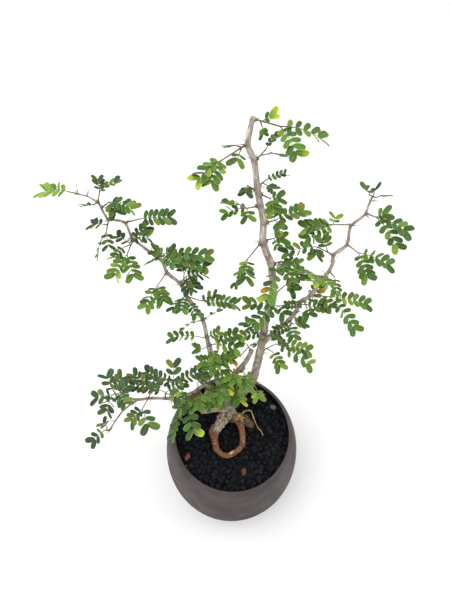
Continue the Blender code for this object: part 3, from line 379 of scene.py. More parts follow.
SPRAYS = (
    spray("crown_right", "middle", 299, (-25, 0), [
        leaf(-25, 0, 14, pinna(-10, -10, 33, 5), pinna(-60, -20, 27, 5)),
        leaf(-70, 30, 6, pinna(0, 35, 9, 2, 0.95)),
        leaf(-50, -50, 3, pinna(-50, -65, 7, 4, 0.55))]),
    spray("crown_left", "middle", 283, (-140, -5), [
        leaf(-140, -5, 17, pinna(-140, -15, 26, 5), pinna(-115, -20, 23, 5)),
        leaf(-165, 30, 3, pinna(-175, 0, 7, 3, 0.8, 35)),
        leaf(-110, -15, 3, pinna(-115, -45, 8, 2, 0.9))]),
    spray("upper_right", "middle", 270, (30, 35), [
        leaf(35, 35, 6, pinna(40, 30, 15, 4, 0.7, -30)),
        leaf(10, 5, 3, pinna(-5, 0, 17, 4, 0.9, -40))]),
    spray("tiny_right", "middle", 251, (45, 10), [
        leaf(45, 10, 3, pinna(20, 5, 18, 5, 0.5)),
        leaf(-45, 0, 3, pinna(-40, 0, 8, 3, 0.7))]),
    spray("upper_left", "middle", 248, (165, 25), [
        leaf(165, 25, 3, pinna(-100, -10, 10, 3, 0.75))]),
    spray("left_spray", "middle", 237, (-155, 5), [
        leaf(-160, 5, 5, pinna(170, 10, 19, 4, 0.8, 30), pinna(-170, -10, 20, 4, 0.8),
             pinna(-80, -55, 10, 2, 0.9))]),
    spray("mid_right_upper", "middle", 247, (-30, -5), [
        leaf(-25, -10, 4, pinna(5, 0, 12, 2), pinna(-70, -30, 13, 3))]),
    spray("mid_right", "middle", 222, (10, 10), [
        leaf(10, 10, 3, pinna(20, 5, 27, 5), pinna(-45, -45, 12, 4), pinna(115, 20, 11, 2))]),
    spray("mid_right_lower", "middle", 207, (20, 0), [
        leaf(20, 0, 3, pinna(0, 0, 10, 3), pinna(-60, -30, 8, 2, 0.6))]),
    spray("mid_left", "middle", 207, (-130, -10), [
        leaf(-130, -15, 13, pinna(-95, -30, 20, 5), pinna(-120, -30, 25, 3, 0.7, 40))]),
    spray("centre_front", "middle", 180, (15, 15), [
        leaf(15, 15, 3, pinna(-40, 0, 9, 2, 0.9)),
        leaf(-95, 15, 3, pinna(-110, -25, 33, 5)),
        leaf(-60, 20, 3, pinna(-60, -15, 20, 4, 0.85)),
        leaf(-30, 30, 3, pinna(-20, 15, 18, 4, 0.8), pinna(-75, 10, 13, 3, 0.8))]),
    spray("centre_right", "middle", 146, (30, 35), [
        leaf(30, 30, 9, pinna(30, 10, 21, 4), pinna(-35, -20, 13, 4))]),
    spray("low_edge", "middle", 101, (-80, 15), [
        leaf(-80, 15, 3, pinna(-150, 0, 16, 4, 0.7, 50)),
        leaf(-20, 35, 3, pinna(15, 10, 10, 2, 0.8)),
        leaf(165, 30, 6, pinna(145, 10, 21, 5, 0.85), pinna(-170, 0, 19, 4, 0.85))]),
    spray("fan", "middle", 74, (20, 20), [
        leaf(20, 20, 10, pinna(-10, -5, 36, 6), pinna(-30, -10, 42, 5)),
        leaf(-35, 5, 7, pinna(-60, -25, 20, 4))]),
    spray("fork_front", "middle", 32, (-60, 20), [
        leaf(-60, 20, 3, pinna(-80, -15, 14, 3)),
        leaf(165, 40, 3, pinna(130, 25, 23, 3, 0.8))]),
    spray("trunk_front", "middle", 14, (-175, 80), [
        leaf(-175, 80, 3, pinna(-85, -20, 16, 3), pinna(-135, 0, 17, 3), pinna(-175, 35, 13, 2, 0.9))]),
    spray("right_tip", "right", 172, (60, 35), [
        leaf(60, 35, 3, pinna(-115, 70, 8, 3, 0.7, 60)),
        leaf(170, 30, 3, pinna(150, 50, 8, 2, 0.75, 55)),
        leaf(-30, 15, 3, pinna(-20, 30, 8, 2, 0.85, -40))]),
    spray("right_end", "right", 163, (-35, 10), [
        leaf(-35, 5, 4, pinna(0, 30, 8, 2), pinna(-30, -5, 28, 5), pinna(-60, -15, 31, 5))]),
    spray("right_left", "right", 150, (-180, 0), [
        leaf(-180, 0, 10, pinna(-175, -5, 26, 6), pinna(-155, -15, 27, 5), pinna(70, 30, 8, 2, 0.7))]),
    spray("right_inner", "right", 117, (145, 0), [
        leaf(145, 0, 10, pinna(-170, -5, 31, 5), pinna(-100, -30, 11, 3)),
        leaf(115, 35, 3, pinna(110, 15, 15, 3))]),
    spray("right_outer", "right", 132, (-40, -5), [
        leaf(-45, -5, 6, pinna(-20, -10, 30, 5), pinna(-70, -25, 25, 5))]),
    spray("right_hanging", "right", 101, (-60, 0), [
        leaf(-60, 0, 3, pinna(-85, -30, 16, 4, 0.7))]),
    spray("right_pale", "right", 94, (175, 15), [
        leaf(175, 15, 3, pinna(175, 5, 21, 6, 0.9, 35)),
        leaf(-80, 40, 4, pinna(-135, 20, 16, 4, 0.85), pinna(-60, 5, 14, 3, 0.85))]),
    spray("right_long", "right", 73, (-5, 0), [
        leaf(-5, 0, 11, pinna(-10, -5, 37, 6), pinna(-50, -20, 39, 6)),
        leaf(-35, 0, 3, pinna(-40, -15, 16, 3, 0.8))]),
    spray("right_middle", "right", 64, (-70, 10), [
        leaf(-15, 5, 3, pinna(60, 10, 25, 4, 0.9)),
        leaf(-95, 30, 6, pinna(5, -5, 20, 4), pinna(-65, -30, 8, 2)),
        leaf(-150, 30, 4, pinna(-165, 15, 17, 5, 0.65))]),
    spray("right_inward", "right", 60, (-155, 20), [
        leaf(-155, 20, 18, pinna(180, 5, 31, 5), pinna(-140, 0, 32, 5), pinna(-55, -20, 13, 2))]),
    spray("right_low", "right", 37, (-60, 30), [
        leaf(-60, 30, 3, pinna(15, -10, 14, 3)),
        leaf(-130, 5, 16, pinna(-125, -10, 10, 3, 0.7)),
        leaf(-110, 25, 5, pinna(-155, 5, 17, 4, 0.8), pinna(-80, -10, 15, 3, 0.9))]),
    spray("left_tip", "left", 264, (160, 0), [
        leaf(165, 0, 4, pinna(175, -5, 25, 5, 1.2, 5))]),
    spray("left_tip_up", "left", 248, (0, 80), [
        leaf(90, 5, 7, pinna(25, 20, 19, 4, 0.8, -15), pinna(100, 35, 13, 4, 0.7, 25)),
        leaf(-105, 5, 7, pinna(-160, 15, 7, 2, 0.8, 35))]),
    spray("left_arc", "left", 244, (40, 15), [
        leaf(40, 15, 3, pinna(-20, 0, 25, 6), pinna(-50, -20, 15, 4))]),
    spray("left_right", "left", 221, (15, 5), [
        leaf(15, 5, 7, pinna(5, 0, 29, 6, 1.0, 25))]),
    spray("left_hang_outer", "left", 234, (-105, -40), [
        leaf(-105, -40, 6, pinna(-120, -40, 23, 4, 0.6, 40), pinna(-80, -35, 15, 3, 0.7)),
        leaf(-175, 0, 3, pinna(165, -15, 15, 3, 0.9))]),
    spray("left_node", "left", 206, (-100, 15), [
        leaf(-100, 15, 3, pinna(145, 0, 17, 3, 0.8)),
        leaf(15, 40, 3, pinna(40, 20, 18, 4, 0.9), pinna(0, 15, 17, 4, 0.8, 15))]),
    spray("left_hang", "left", 205, (-115, -25), [
        leaf(-115, -30, 9, pinna(-120, -20, 25, 5), pinna(-70, -20, 24, 5)),
        leaf(-165, -15, 6, pinna(-130, -20, 16, 4, 0.8))]),
    spray("left_upper", "left", 181, (-5, 15), [
        leaf(-5, 15, 4, pinna(-5, 5, 40, 6), pinna(-15, -5, 39, 6)),
        leaf(-85, 0, 3, pinna(-165, -10, 15, 4, 0.8, 40)),
        leaf(30, 10, 3, pinna(170, 20, 13, 3, 0.95), pinna(10, 15, 12, 3, 0.95)),
        leaf(-50, 35, 4, pinna(-40, 5, 16, 4, 0.9))]),
    spray("left_dark", "left", 148, (50, 10), [
        leaf(50, 10, 3, pinna(15, 0, 20, 4), pinna(-50, -20, 17, 4)),
        leaf(85, 25, 5, pinna(60, 5, 20, 4), pinna(110, 15, 16, 4)),
        leaf(-80, 25, 4, pinna(-60, -5, 15, 3, 0.9))]),
    spray("left_mid_hang", "left", 164, (-125, -25), [
        leaf(-125, -20, 9, pinna(-120, -25, 25, 5), pinna(-65, -25, 19, 5))]),
    spray("left_mid_right", "left", 136, (-80, 40), [
        leaf(-15, -10, 14, pinna(-3, -5, 35, 7), pinna(20, 15, 17, 3, 0.7)),
        leaf(-135, 0, 5, pinna(-125, -5, 16, 3, 0.9, 35)),
        leaf(-65, 0, 8, pinna(-60, -5, 17, 4, 0.8)),
        leaf(-115, 30, 4, pinna(-95, 0, 17, 4, 0.85))]),
    spray("left_thin", "left", 107, (-80, 30), [
        leaf(-80, 30, 3, pinna(35, 10, 21, 3, 0.7, -45)),
        leaf(-160, 15, 6, pinna(-145, 0, 17, 3, 0.6, 45))]),
    spray("left_low_outer", "left", 87, (-90, 25), [
        leaf(160, -15, 8, pinna(-180, -5, 30, 5, 0.95, 12)),
        leaf(-5, 40, 3, pinna(25, 10, 14, 3, 0.8))]),
    spray("left_low_right", "left", 76, (-40, 45), [
        leaf(-40, 45, 3, pinna(25, 5, 28, 5), pinna(-5, -10, 27, 4)),
        leaf(-145, 5, 9, pinna(-175, 10, 11, 4, 0.8)),
        leaf(-80, 0, 5, pinna(-75, -25, 15, 4, 0.9))]),
    spray("left_low", "left", 57, (25, 10), [
        leaf(25, 10, 3, pinna(-10, -10, 19, 4), pinna(-75, -20, 15, 4)),
        leaf(-120, 25, 6, pinna(-170, 5, 17, 4, 0.9), pinna(-115, -15, 15, 4, 0.9)),
        leaf(-60, 45, 5, pinna(-100, 15, 14, 4, 0.75), pinna(-20, 20, 12, 3, 0.75))]),
    spray("low_up", "low", 75, (75, 35), [
        leaf(70, 40, 9, pinna(95, 15, 24, 3, 1.1), pinna(155, 0, 35, 6), pinna(30, 0, 33, 6))]),
    spray("low_row", "low", 80, (90, 60), [
        leaf(90, 60, 3, pinna(170, 0, 37, 6)),
        leaf(50, 20, 3, pinna(30, 5, 21, 4)),
        leaf(-20, 45, 4, pinna(-25, 15, 19, 4))]),
    spray("low_mid", "low", 97, (-10, 65), [
        leaf(80, 5, 6, pinna(140, 15, 27, 5, 1.0, 30)),
        leaf(-110, 10, 13, pinna(-65, -20, 22, 3, 1.15), pinna(-135, -20, 19, 4)),
        leaf(60, 40, 5, pinna(60, 20, 18, 4))]),
    spray("low_tip", "low", 124, (130, 35), [
        leaf(130, 35, 3, pinna(120, 20, 20, 3), pinna(60, 20, 19, 4)),
        leaf(-160, 0, 3, pinna(-170, -5, 20, 3), pinna(-105, -15, 20, 4)),
        leaf(-20, 40, 5, pinna(-50, 10, 18, 4), pinna(40, 20, 16, 4))]),
    spray("low_fork_tip", "low_fork", 38, (-150, 50), [
        leaf(-150, 50, 3, pinna(-135, -10, 17, 3, 0.9)),
        leaf(85, 10, 3, pinna(140, -10, 10, 2, 0.8))]),
    spray("low_hanging", "low", 52, (-120, -10), [
        leaf(-115, -10, 8, pinna(-70, -20, 32, 4, 1.2), pinna(-115, -25, 36, 6, 0.8, 30))]),
    spray("low_mass", "low", 45, (-50, 55), [
        leaf(-125, 10, 9, pinna(-135, 0, 22, 5), pinna(-75, -15, 16, 4)),
        leaf(100, 20, 7, pinna(40, 20, 16, 4)),
        leaf(-55, 30, 7, pinna(-100, -5, 17, 4, 0.8), pinna(-20, 0, 15, 4, 0.75))]),
    spray("low_inner", "low", 32, (-70, 10), [
        leaf(-70, 10, 3, pinna(-70, -20, 17, 4, 1.2), pinna(-20, -15, 20, 4)),
        leaf(50, 50, 12, pinna(20, 25, 21, 4)),
        leaf(0, 30, 12, pinna(5, -5, 15, 3), pinna(-60, -10, 15, 3)),
        leaf(-130, 30, 7, pinna(-160, 5, 15, 4, 0.75), pinna(-100, -5, 14, 4, 0.75))]),
    spray("stub_tip", "stub", 72, (120, 15), [
        leaf(120, 15, 3, pinna(170, 10, 12, 4, 0.9)),
        leaf(-130, -5, 13, pinna(165, 10, 12, 4, 0.8))]),
    spray("stub_mid", "stub", 47, (-50, 20), [
        leaf(-50, 20, 3, pinna(-85, -20, 19, 3, 1.2)),
        leaf(-150, 30, 6, pinna(-165, 5, 17, 4, 0.9), pinna(-105, -10, 15, 3))]),
    spray("stub_low", "stub", 16, (-140, 30), [
        leaf(-150, 35, 6, pinna(170, 10, 17, 4), pinna(-120, 0, 16, 3))]),
)


def heading(bearing, rise):
    """Unit vector from a bearing round from +X and a rise above level, both in degrees."""
    level = math.cos(math.radians(rise))
    turn = math.radians(bearing)
    return Vector((level * math.cos(turn), level * math.sin(turn), math.sin(math.radians(rise))))


def upright(axis, roll=0):
    """The direction square to an axis that leans least from straight up, rolled about the axis."""
    up = Vector((0, 0, 1)) - axis * axis.z
    return Matrix.Rotation(math.radians(roll), 3, axis) @ up.normalized()


def route_line(route):
    """A route's points and radii in metres."""
    return [(Vector(point[:3]) * MM, point[3] * MM) for point in route]


def point_on(stem, along):
    """The point and the radius at a distance along a stem."""
    line = route_line(STEMS[stem])
    for (start, thick), (end, thin) in zip(line, line[1:]):
        step = end - start
        if along <= step.length or end == line[-1][0]:
            share = min(1.0, along / step.length)
            return start + step * share, thick + (thin - thick) * share
        along -= step.length


def spur_reach(row):
    """Where a spray's spur starts in its stem, its direction, the stem's radius and the spur's reach."""
    base, radius = point_on(row["stem"], row["along"])
    return base, heading(*row["spur"]), radius, radius + SPUR_LENGTH


def blended(low, high, share):
    """A colour or point between two."""
    return tuple(a + (b - a) * share for a, b in zip(low, high))


def limited(value, low=0.0, high=1.0):
    return max(low, min(high, value))


def colour_setting(name, description, default):
    return FloatVectorProperty(name=name, description=description, default=default, subtype="COLOR",
                               size=3, min=0, max=1)


def length_setting(name, description, millimetres, least):
    return FloatProperty(name=name, description=description, default=millimetres * MM,
                         min=least * MM, unit="LENGTH")


class PotSettings(bpy.types.PropertyGroup):
    """Sizes and colours of the stoneware pot."""

    steps: IntProperty(name="Turned steps", description="Faces round the pot", default=96, min=24)
    mauve: colour_setting("Mauve clay", "Warmer of the two clay colours", paint(88, 78, 79))
    ash: colour_setting("Ash clay", "Greyer of the two clay colours", paint(69, 62, 61))
    # Painted shade: the inside wall's colour, far darker than the clay outside
    inside_shade: colour_setting("Lining", "Colour of the inside wall", paint(30, 28, 28))


class GravelSettings(bpy.types.PropertyGroup):
    """Sizes and colours of the lava gravel."""

    spacing: length_setting("Spacing", "Distance between pebbles", 5.6, 1)
    least: length_setting("Least size", "Width of the smallest pebbles", 4.4, 1)
    most: length_setting("Most size", "Width of the largest pebbles", 8.4, 1)
    lava: colour_setting("Lava", "Colour of the black lava", paint(20, 22, 29))
    pale: colour_setting("Pale grit", "Colour of the few pale pebbles", paint(112, 116, 112))


class TreeSettings(bpy.types.PropertyGroup):
    """Relief and thorns of the wood."""

    relief: length_setting("Bark relief", "Depth of the bark's unevenness", 0.28, 0.01)
    knot_relief: length_setting("Knot relief", "Depth of the rough knot at the foot", 1.3, 0)
    thorn: colour_setting("Thorn", "Colour of the thorns", paint(196, 180, 152))
    thorn_tip: colour_setting("Thorn tip", "Colour of the thorns' points", paint(84, 60, 46))


class LeafSettings(bpy.types.PropertyGroup):
    """Sizes and colours of the leaflets."""

    length: length_setting("Leaflet length", "Length of a terminal leaflet", 9.4, 1)
    width: length_setting("Leaflet width", "Width of a terminal leaflet", 5.6, 1)
    thickness: length_setting("Leaflet thickness", "Thickness of a leaflet", 0.4, 0.1)
    stalk: colour_setting("Stalk", "Colour of the leaf stalks", paint(124, 118, 84))


class StageSettings(bpy.types.PropertyGroup):
    """The camera's place, the floor and the lights."""

    lens: FloatProperty(name="Lens", description="Focal length of the camera", default=27.0, min=1,
                        unit="CAMERA")
    pitch: FloatProperty(name="Look down", description="How far the camera looks down",
                         default=math.radians(56.12), subtype="ANGLE")
    roll: FloatProperty(name="Roll", description="How far the camera is turned about its view",
                        default=math.radians(-0.4), subtype="ANGLE")
    eye: FloatVectorProperty(name="Camera place", description="Where the camera stands",
                             subtype="TRANSLATION", size=3, default=(-0.0085, -0.1482, 0.6064))
    floor: colour_setting("Floor", "Colour of the floor", (0.95, 0.945, 0.94))
    key: FloatProperty(name="Key light", description="Strength of the large soft light", default=22.5,
                       min=0, subtype="POWER")
    fill: FloatProperty(name="Room light", description="Strength of the light from all round",
                        default=0.8, min=0)


class Wiring:
    """A shader's node tree, the coordinates it lies on, and short ways to add nodes to it."""

    def __init__(self, tree):
        self.tree = tree
        self.place = None

    def feed(self, socket, value):
        """Join an output to a socket, or set the socket's own value."""
        if isinstance(value, bpy.types.NodeSocket):
            self.tree.links.new(value, socket)
        elif socket.type == "RGBA":
            socket.default_value = (*value, 1.0)
        else:
            socket.default_value = value

    def node(self, kind, inputs, **settings):
        """A node with its settings and its inputs, which go by name or number."""
        made = self.tree.nodes.new("ShaderNode" + kind)
        for name, value in settings.items():
            setattr(made, name, value)
        for name, value in inputs.items():
            self.feed(made.inputs[name], value)
        return made

    def mix(self, share, low, high, blend="MIX"):
        """One colour laid over another by a share."""
        made = self.node("Mix", {}, data_type="RGBA", blend_type=blend, clamp_factor=True)
        for number, value in ((0, share), (6, low), (7, high)):
            self.feed(made.inputs[number], value)
        return made.outputs[2]

    def ease(self, value, start, end, low=0.0, high=1.0):
        """A value's smooth way from low to high as it goes from start to end."""
        inputs = {"Value": value, "From Min": start, "From Max": end, "To Min": low, "To Max": high}
        return self.node("MapRange", inputs, interpolation_type="SMOOTHSTEP").outputs["Result"]

    def calc(self, operation, *values):
        return self.node("Math", dict(enumerate(values)), operation=operation).outputs[0]

    def times(self, value, factor):
        return self.calc("MULTIPLY", value, factor)

    def noise(self, scale, detail=3.0, distortion=0.0):
        """Plain noise, from 0 to 1."""
        inputs = {"Vector": self.place, "Scale": scale, "Detail": detail, "Distortion": distortion}
        return self.node("TexNoise", inputs).outputs["Fac"]

    def attribute(self, name, output):
        return self.node("Attribute", {}, attribute_name=name).outputs[output]

    def shared(self, name, inputs):
        """A shared effect, built the first time it is asked for, with this material's own values."""
        group = bpy.data.node_groups.get(name) or SHARED[name]()
        return self.node("Group", inputs, node_tree=group).outputs[0]

    def mottle(self, scale, warp, low, high, place=None):
        return self.shared("Mottle", {"Vector": place or self.place, "Scale": scale, "Warp": warp,
                                      "Low": low, "High": high})

    def grit(self, scale, pits):
        return self.shared("Grit", {"Vector": self.place, "Scale": scale, "Pits": pits})

    def dress(self, colour, roughness, height, depth, specular=0.5):
        """Feed the shader with a colour, a roughness and a relief of a depth in metres."""
        bump = self.node("Bump", {"Distance": depth, "Height": height})
        shader = self.tree.nodes["Principled BSDF"]
        self.feed(shader.inputs["Base Color"], colour)
        self.feed(shader.inputs["Roughness"], roughness)
        self.feed(shader.inputs["Specular IOR Level"], specular)
        self.feed(shader.inputs["Normal"], bump.outputs["Normal"])


def new_group(name, values, output):
    """A shader node group of a vector and some values, with the sockets at its two ends."""
    group = bpy.data.node_groups.new(name, "ShaderNodeTree")
    group.interface.new_socket("Vector", in_out="INPUT", socket_type="NodeSocketVector")
    for label, value in values.items():
        socket = group.interface.new_socket(label, in_out="INPUT", socket_type="NodeSocketFloat")
        socket.default_value = value
    group.interface.new_socket(output, in_out="OUTPUT", socket_type="NodeSocketFloat")
    wiring = Wiring(group)
    come = group.nodes.new("NodeGroupInput").outputs
    wiring.place = come["Vector"]
    return wiring, come, group.nodes.new("NodeGroupOutput").inputs[output]


def mottle_group():
    """Soft clouds of a mask, for smoky clay, bark, leaves and stone."""
    wiring, come, go = new_group("Mottle", {"Scale": 10.0, "Warp": 0.5, "Low": 0.35, "High": 0.65}, "Mask")
    cloud = wiring.noise(come["Scale"], 5.0, come["Warp"])
    wiring.feed(go, wiring.ease(cloud, come["Low"], come["High"]))
    return wiring.tree


def grit_group():
    """Fine grains and pits as a height, for clay, stone, soil and bark."""
    wiring, come, go = new_group("Grit", {"Scale": 400.0, "Pits": 0.5}, "Height")
    grains = wiring.noise(come["Scale"], 4.0)
    pits = wiring.node("TexVoronoi", {"Vector": wiring.place, "Scale": come["Scale"]}).outputs["Distance"]
    wiring.feed(go, wiring.calc("ADD", grains, wiring.times(pits, come["Pits"])))
    return wiring.tree


SHARED = {"Mottle": mottle_group, "Grit": grit_group}


def new_finish(name):
    """A material and the wiring of its shader, laid on object coordinates."""
    finish = bpy.data.materials.new(name)
    finish.use_nodes = True
    wiring = Wiring(finish.node_tree)
    wiring.place = wiring.node("TexCoord", {}).outputs["Object"]
    return finish, wiring


def stoneware_finish(settings):
    """Matt clay with smoky clouds, fine specks, painted shade darkening it towards the foot and faint marks
    of turning.
    """
    finish, wiring = new_finish("stoneware")
    smoke = wiring.mottle(13.0, 1.2, 0.34, 0.66)
    soft = wiring.mottle(46.0, 0.6, 0.3, 0.7)
    clay = wiring.mix(smoke, settings.mauve, settings.ash)
    clay = wiring.mix(wiring.times(soft, 0.16), clay, blended(settings.ash, BLACK, 0.4))
    height = wiring.node("SeparateXYZ", {"Vector": wiring.place}).outputs["Z"]
    # Painted shade, darker towards the foot
    foot = wiring.ease(height, *FOOT_PAINTED_SHADE_HEIGHTS, 0.0, FOOT_PAINTED_SHADE)
    clay = wiring.mix(foot, clay, blended(settings.ash, BLACK, 0.5))
    grain = wiring.noise(900.0)
    clay = wiring.mix(wiring.ease(grain, 0.62, 0.74, 0.0, 0.25), clay, paint(128, 120, 118))
    clay = wiring.mix(wiring.ease(grain, 0.38, 0.28, 0.0, 0.4), clay, paint(58, 53, 52))
    rings = wiring.node("TexWave", {"Vector": wiring.place, "Scale": 60.0, "Distortion": 1.5,
                                    "Detail": 2.0}, bands_direction="Z")
    relief = wiring.calc("ADD", wiring.grit(650.0, 0.25), wiring.times(rings.outputs["Fac"], 0.25))
    wiring.dress(clay, wiring.ease(soft, 0, 1, 0.62, 0.76), relief, 0.12 * MM, 0.2)
    return finish


def inside_shade_finish(settings):
    """The bare inside of the pot, painted dark as shade."""
    finish, wiring = new_finish("inside_painted_shade")
    cloud = wiring.mottle(40.0, 0.4, 0.3, 0.7)
    dark = wiring.mix(cloud, settings.inside_shade, blended(settings.inside_shade, BLACK, 0.4))
    wiring.dress(dark, wiring.ease(cloud, 0, 1, 0.6, 0.8), wiring.grit(500.0, 0.4), 0.15 * MM)
    return finish


def lava_finish(name, settings, tinted=True):
    """Pitted lava, blue-black where it is bare and duller where dust lies; untinted, it is the bed under the
    pebbles, painted far darker as the shade between them.
    """
    finish, wiring = new_finish(name)
    cloud = wiring.mottle(220.0, 0.5, 0.35, 0.7)
    # Untinted, the bed is darkened towards black as painted shade in the gaps between pebbles
    base = wiring.attribute("tint", "Color") if tinted else blended(settings.lava, BLACK, 0.8)
    stone = wiring.mix(cloud, wiring.mix(0.5, base, (0.002, 0.002, 0.003)), base)
    stone = wiring.mix(wiring.ease(wiring.noise(1500.0), 0.66, 0.76, 0.0, 0.35), stone, paint(92, 94, 98))
    wiring.dress(stone, wiring.ease(cloud, 0, 1, 0.75, 0.4), wiring.grit(900.0, 0.9), 0.3 * MM, 0.16)
    return finish


def soil_finish():
    """Dark crumbly potting mix with paler fibres."""
    finish, wiring = new_finish("potting_mix")
    crumbs = wiring.grit(320.0, 0.8)
    soil = wiring.mix(wiring.mottle(120.0, 1.0, 0.35, 0.65), paint(44, 34, 26), paint(74, 56, 40))
    soil = wiring.mix(wiring.ease(wiring.noise(700.0), 0.66, 0.72), soil, paint(132, 110, 82))
    wiring.dress(soil, wiring.ease(crumbs, 0.3, 1.2, 0.95, 0.8), crumbs, 0.8 * MM)
    return finish


def mesh_finish():
    """Black plastic net, with painted shade making its square openings near-black pits."""
    finish, wiring = new_finish("drainage_net")
    threads = []
    for direction in ("X", "Y"):
        wave = wiring.node("TexWave", {"Vector": wiring.place, "Scale": 110.0}, bands_direction=direction)
        threads.append(wiring.ease(wave.outputs["Fac"], 0.55, 0.8))
    net = wiring.calc("MAXIMUM", *threads)
    # The openings are painted near-black as shade in the holes; the threads are the plastic's colour
    threads_and_hole_shade = wiring.mix(net, paint(12, 12, 12), paint(52, 52, 54))
    wiring.dress(threads_and_hole_shade, wiring.ease(net, 0, 1, 0.8, 0.45), net, 0.5 * MM)
    return finish


def bark_finish():
    """Bark whose tone is painted along each root and stem, with specks, cracks and pale scale."""
    finish, wiring = new_finish("bark")
    cloud = wiring.mottle(190.0, 0.8, 0.35, 0.7)
    streak = wiring.mottle(1100.0, 0.4, 0.44, 0.66, wiring.attribute("grain", "Vector"))
    pale = wiring.mottle(420.0, 0.3, 0.58, 0.7)
    wood = wiring.attribute("tone", "Color")
    wood = wiring.mix(wiring.times(cloud, 0.5), wood, paint(150, 128, 108), "MULTIPLY")
    wood = wiring.mix(wiring.times(streak, 0.55), wood, paint(128, 104, 84), "MULTIPLY")
    wood = wiring.mix(wiring.times(pale, 0.35), wood, paint(226, 218, 204))
    relief = wiring.calc("SUBTRACT", wiring.grit(420.0, 0.5), wiring.times(streak, 0.6))
    wiring.dress(wood, wiring.ease(cloud, 0, 1, 0.9, 0.72), relief, 0.35 * MM)
    return finish


def thorn_finish():
    """Smooth horn-like thorns, painted dark towards the point."""
    finish, wiring = new_finish("thorn")
    cloud = wiring.mottle(500.0, 0.2, 0.35, 0.65)
    horn = wiring.attribute("tone", "Color")
    horn = wiring.mix(wiring.times(cloud, 0.3), horn, paint(120, 96, 74), "MULTIPLY")
    wiring.dress(horn, wiring.ease(cloud, 0, 1, 0.45, 0.6), cloud, 0.05 * MM)
    return finish


def leaf_finish():
    """Firm leaflets: a pale midrib, faint side veins, a paler rim that is partly its own colour and partly a
    painted highlight, and a dull underside.
    """
    finish, wiring = new_finish("leaf")
    tint = wiring.attribute("tint", "Color")
    blade = wiring.node("SeparateXYZ", {"Vector": wiring.attribute("blade", "Vector")})
    across, along, under = blade.outputs
    aside = wiring.calc("ABSOLUTE", across)
    cloud = wiring.mottle(260.0, 0.3, 0.3, 0.7)
    slant = wiring.calc("SUBTRACT", wiring.times(along, 46.0), wiring.times(aside, 15.0))
    vein = wiring.ease(wiring.calc("SINE", slant), 0.7, 1.0)
    midrib = wiring.ease(aside, 0.12, 0.02)
    # The rim is paler partly as its own colour and partly as painted highlight
    pale_rim_and_highlight = wiring.ease(aside, 0.62, 1.0)
    light = wiring.mix(0.36, wiring.mix(1.0, tint, tint, "ADD"), paint(190, 208, 120))
    green = wiring.mix(wiring.times(cloud, 0.4), tint, paint(170, 196, 130), "MULTIPLY")
    for mark, strength in ((vein, 0.16), (midrib, 0.5), (pale_rim_and_highlight, 0.75)):
        green = wiring.mix(wiring.times(mark, strength), green, light)
    green = wiring.mix(wiring.times(under, 0.4), green, paint(130, 152, 96))
    ribs = wiring.calc("ADD", wiring.times(vein, 0.4), midrib)
    relief = wiring.calc("SUBTRACT", cloud, ribs)
    wiring.dress(green, wiring.ease(under, 0, 1, 0.4, 0.62), relief, 0.12 * MM, 0.3)
    return finish


def stalk_finish(settings):
    """Slender stalks, green-brown and slightly ribbed."""
    finish, wiring = new_finish("leaf_stalk")
    cloud = wiring.mottle(150.0, 0.3, 0.35, 0.65)
    stalk = wiring.mix(cloud, settings.stalk, paint(92, 76, 56))
    wiring.dress(stalk, wiring.ease(cloud, 0, 1, 0.5, 0.68), wiring.grit(800.0, 0.2), 0.06 * MM)
    return finish


def loose_object(name, data):
    thing = bpy.data.objects.new(name, data)
    bpy.context.scene.collection.objects.link(thing)
    return thing


def add_piece(name, mesh, finishes, slot, *nodes):
    """A finished piece: its materials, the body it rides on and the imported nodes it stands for."""
    piece = loose_object(name, mesh)
    for finish in finishes:
        mesh.materials.append(finish)
    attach(piece, "root")
    if nodes:
        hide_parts(*nodes)


def paint_node(node, finish):
    """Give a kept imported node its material."""
    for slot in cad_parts[node].material_slots:
        slot.material = finish


def mesh_from(bm, name, smooth):
    mesh = bpy.data.meshes.new(name)
    bm.to_mesh(mesh)
    bm.free()
    mesh.polygons.foreach_set("use_smooth", [smooth] * len(mesh.polygons))
    return mesh


def applied(thing):
    """A thing's mesh with its modifiers applied. The thing is removed."""
    bpy.context.view_layer.update()
    mesh = bpy.data.meshes.new_from_object(thing.evaluated_get(bpy.context.evaluated_depsgraph_get()))
    bpy.data.objects.remove(thing, do_unlink=True)
    return mesh


def lay_spline(curve, line):
    """A spline through a line of points and radii, with its bends eased."""
    spline = curve.splines.new("BEZIER")
    spline.bezier_points.add(len(line) - 1)
    for index, (spot, (here, radius)) in enumerate(zip(spline.bezier_points, line)):
        before = line[max(0, index - 1)][0]
        after = line[min(len(line) - 1, index + 1)][0]
        along = (after - before).normalized()
        spot.co = here
        spot.radius = radius / MM
        spot.handle_left_type = "FREE"
        spot.handle_right_type = "FREE"
        spot.handle_left = here - along * (here - before).length * BEND
        spot.handle_right = here + along * (after - here).length * BEND


def tubes(name, lines, sides):
    """Round tubes along lines of points and radii, capped at both ends."""
    curve = bpy.data.curves.new(name, "CURVE")
    curve.dimensions = "3D"
    curve.bevel_depth = MM
    curve.bevel_resolution = (sides - 4) // 2
    curve.use_fill_caps = True
    curve.resolution_u = BEND_STEPS
    for line in lines:
        lay_spline(curve, line)
    bm = bmesh.new()
    bm.from_mesh(applied(loose_object(name, curve)))
    bmesh.ops.remove_doubles(bm, verts=bm.verts, dist=JOIN)
    bmesh.ops.recalc_face_normals(bm, faces=bm.faces)
    return bm


def wall_radius(height):
    """The pot's outer radius at a height."""
    if height >= WIDEST_HEIGHT:
        end, share = MOUTH_RADIUS, (height - WIDEST_HEIGHT) / (POT_HEIGHT - WIDEST_HEIGHT)
    else:
        end, share = FOOT_RADIUS, (WIDEST_HEIGHT - height) / WIDEST_HEIGHT
    return WIDEST_RADIUS * math.sqrt(1 - (1 - (end / WIDEST_RADIUS) ** 2) * share ** 2)


def between(low, high, steps):
    return [low + (high - low) * step / steps for step in range(steps + 1)]


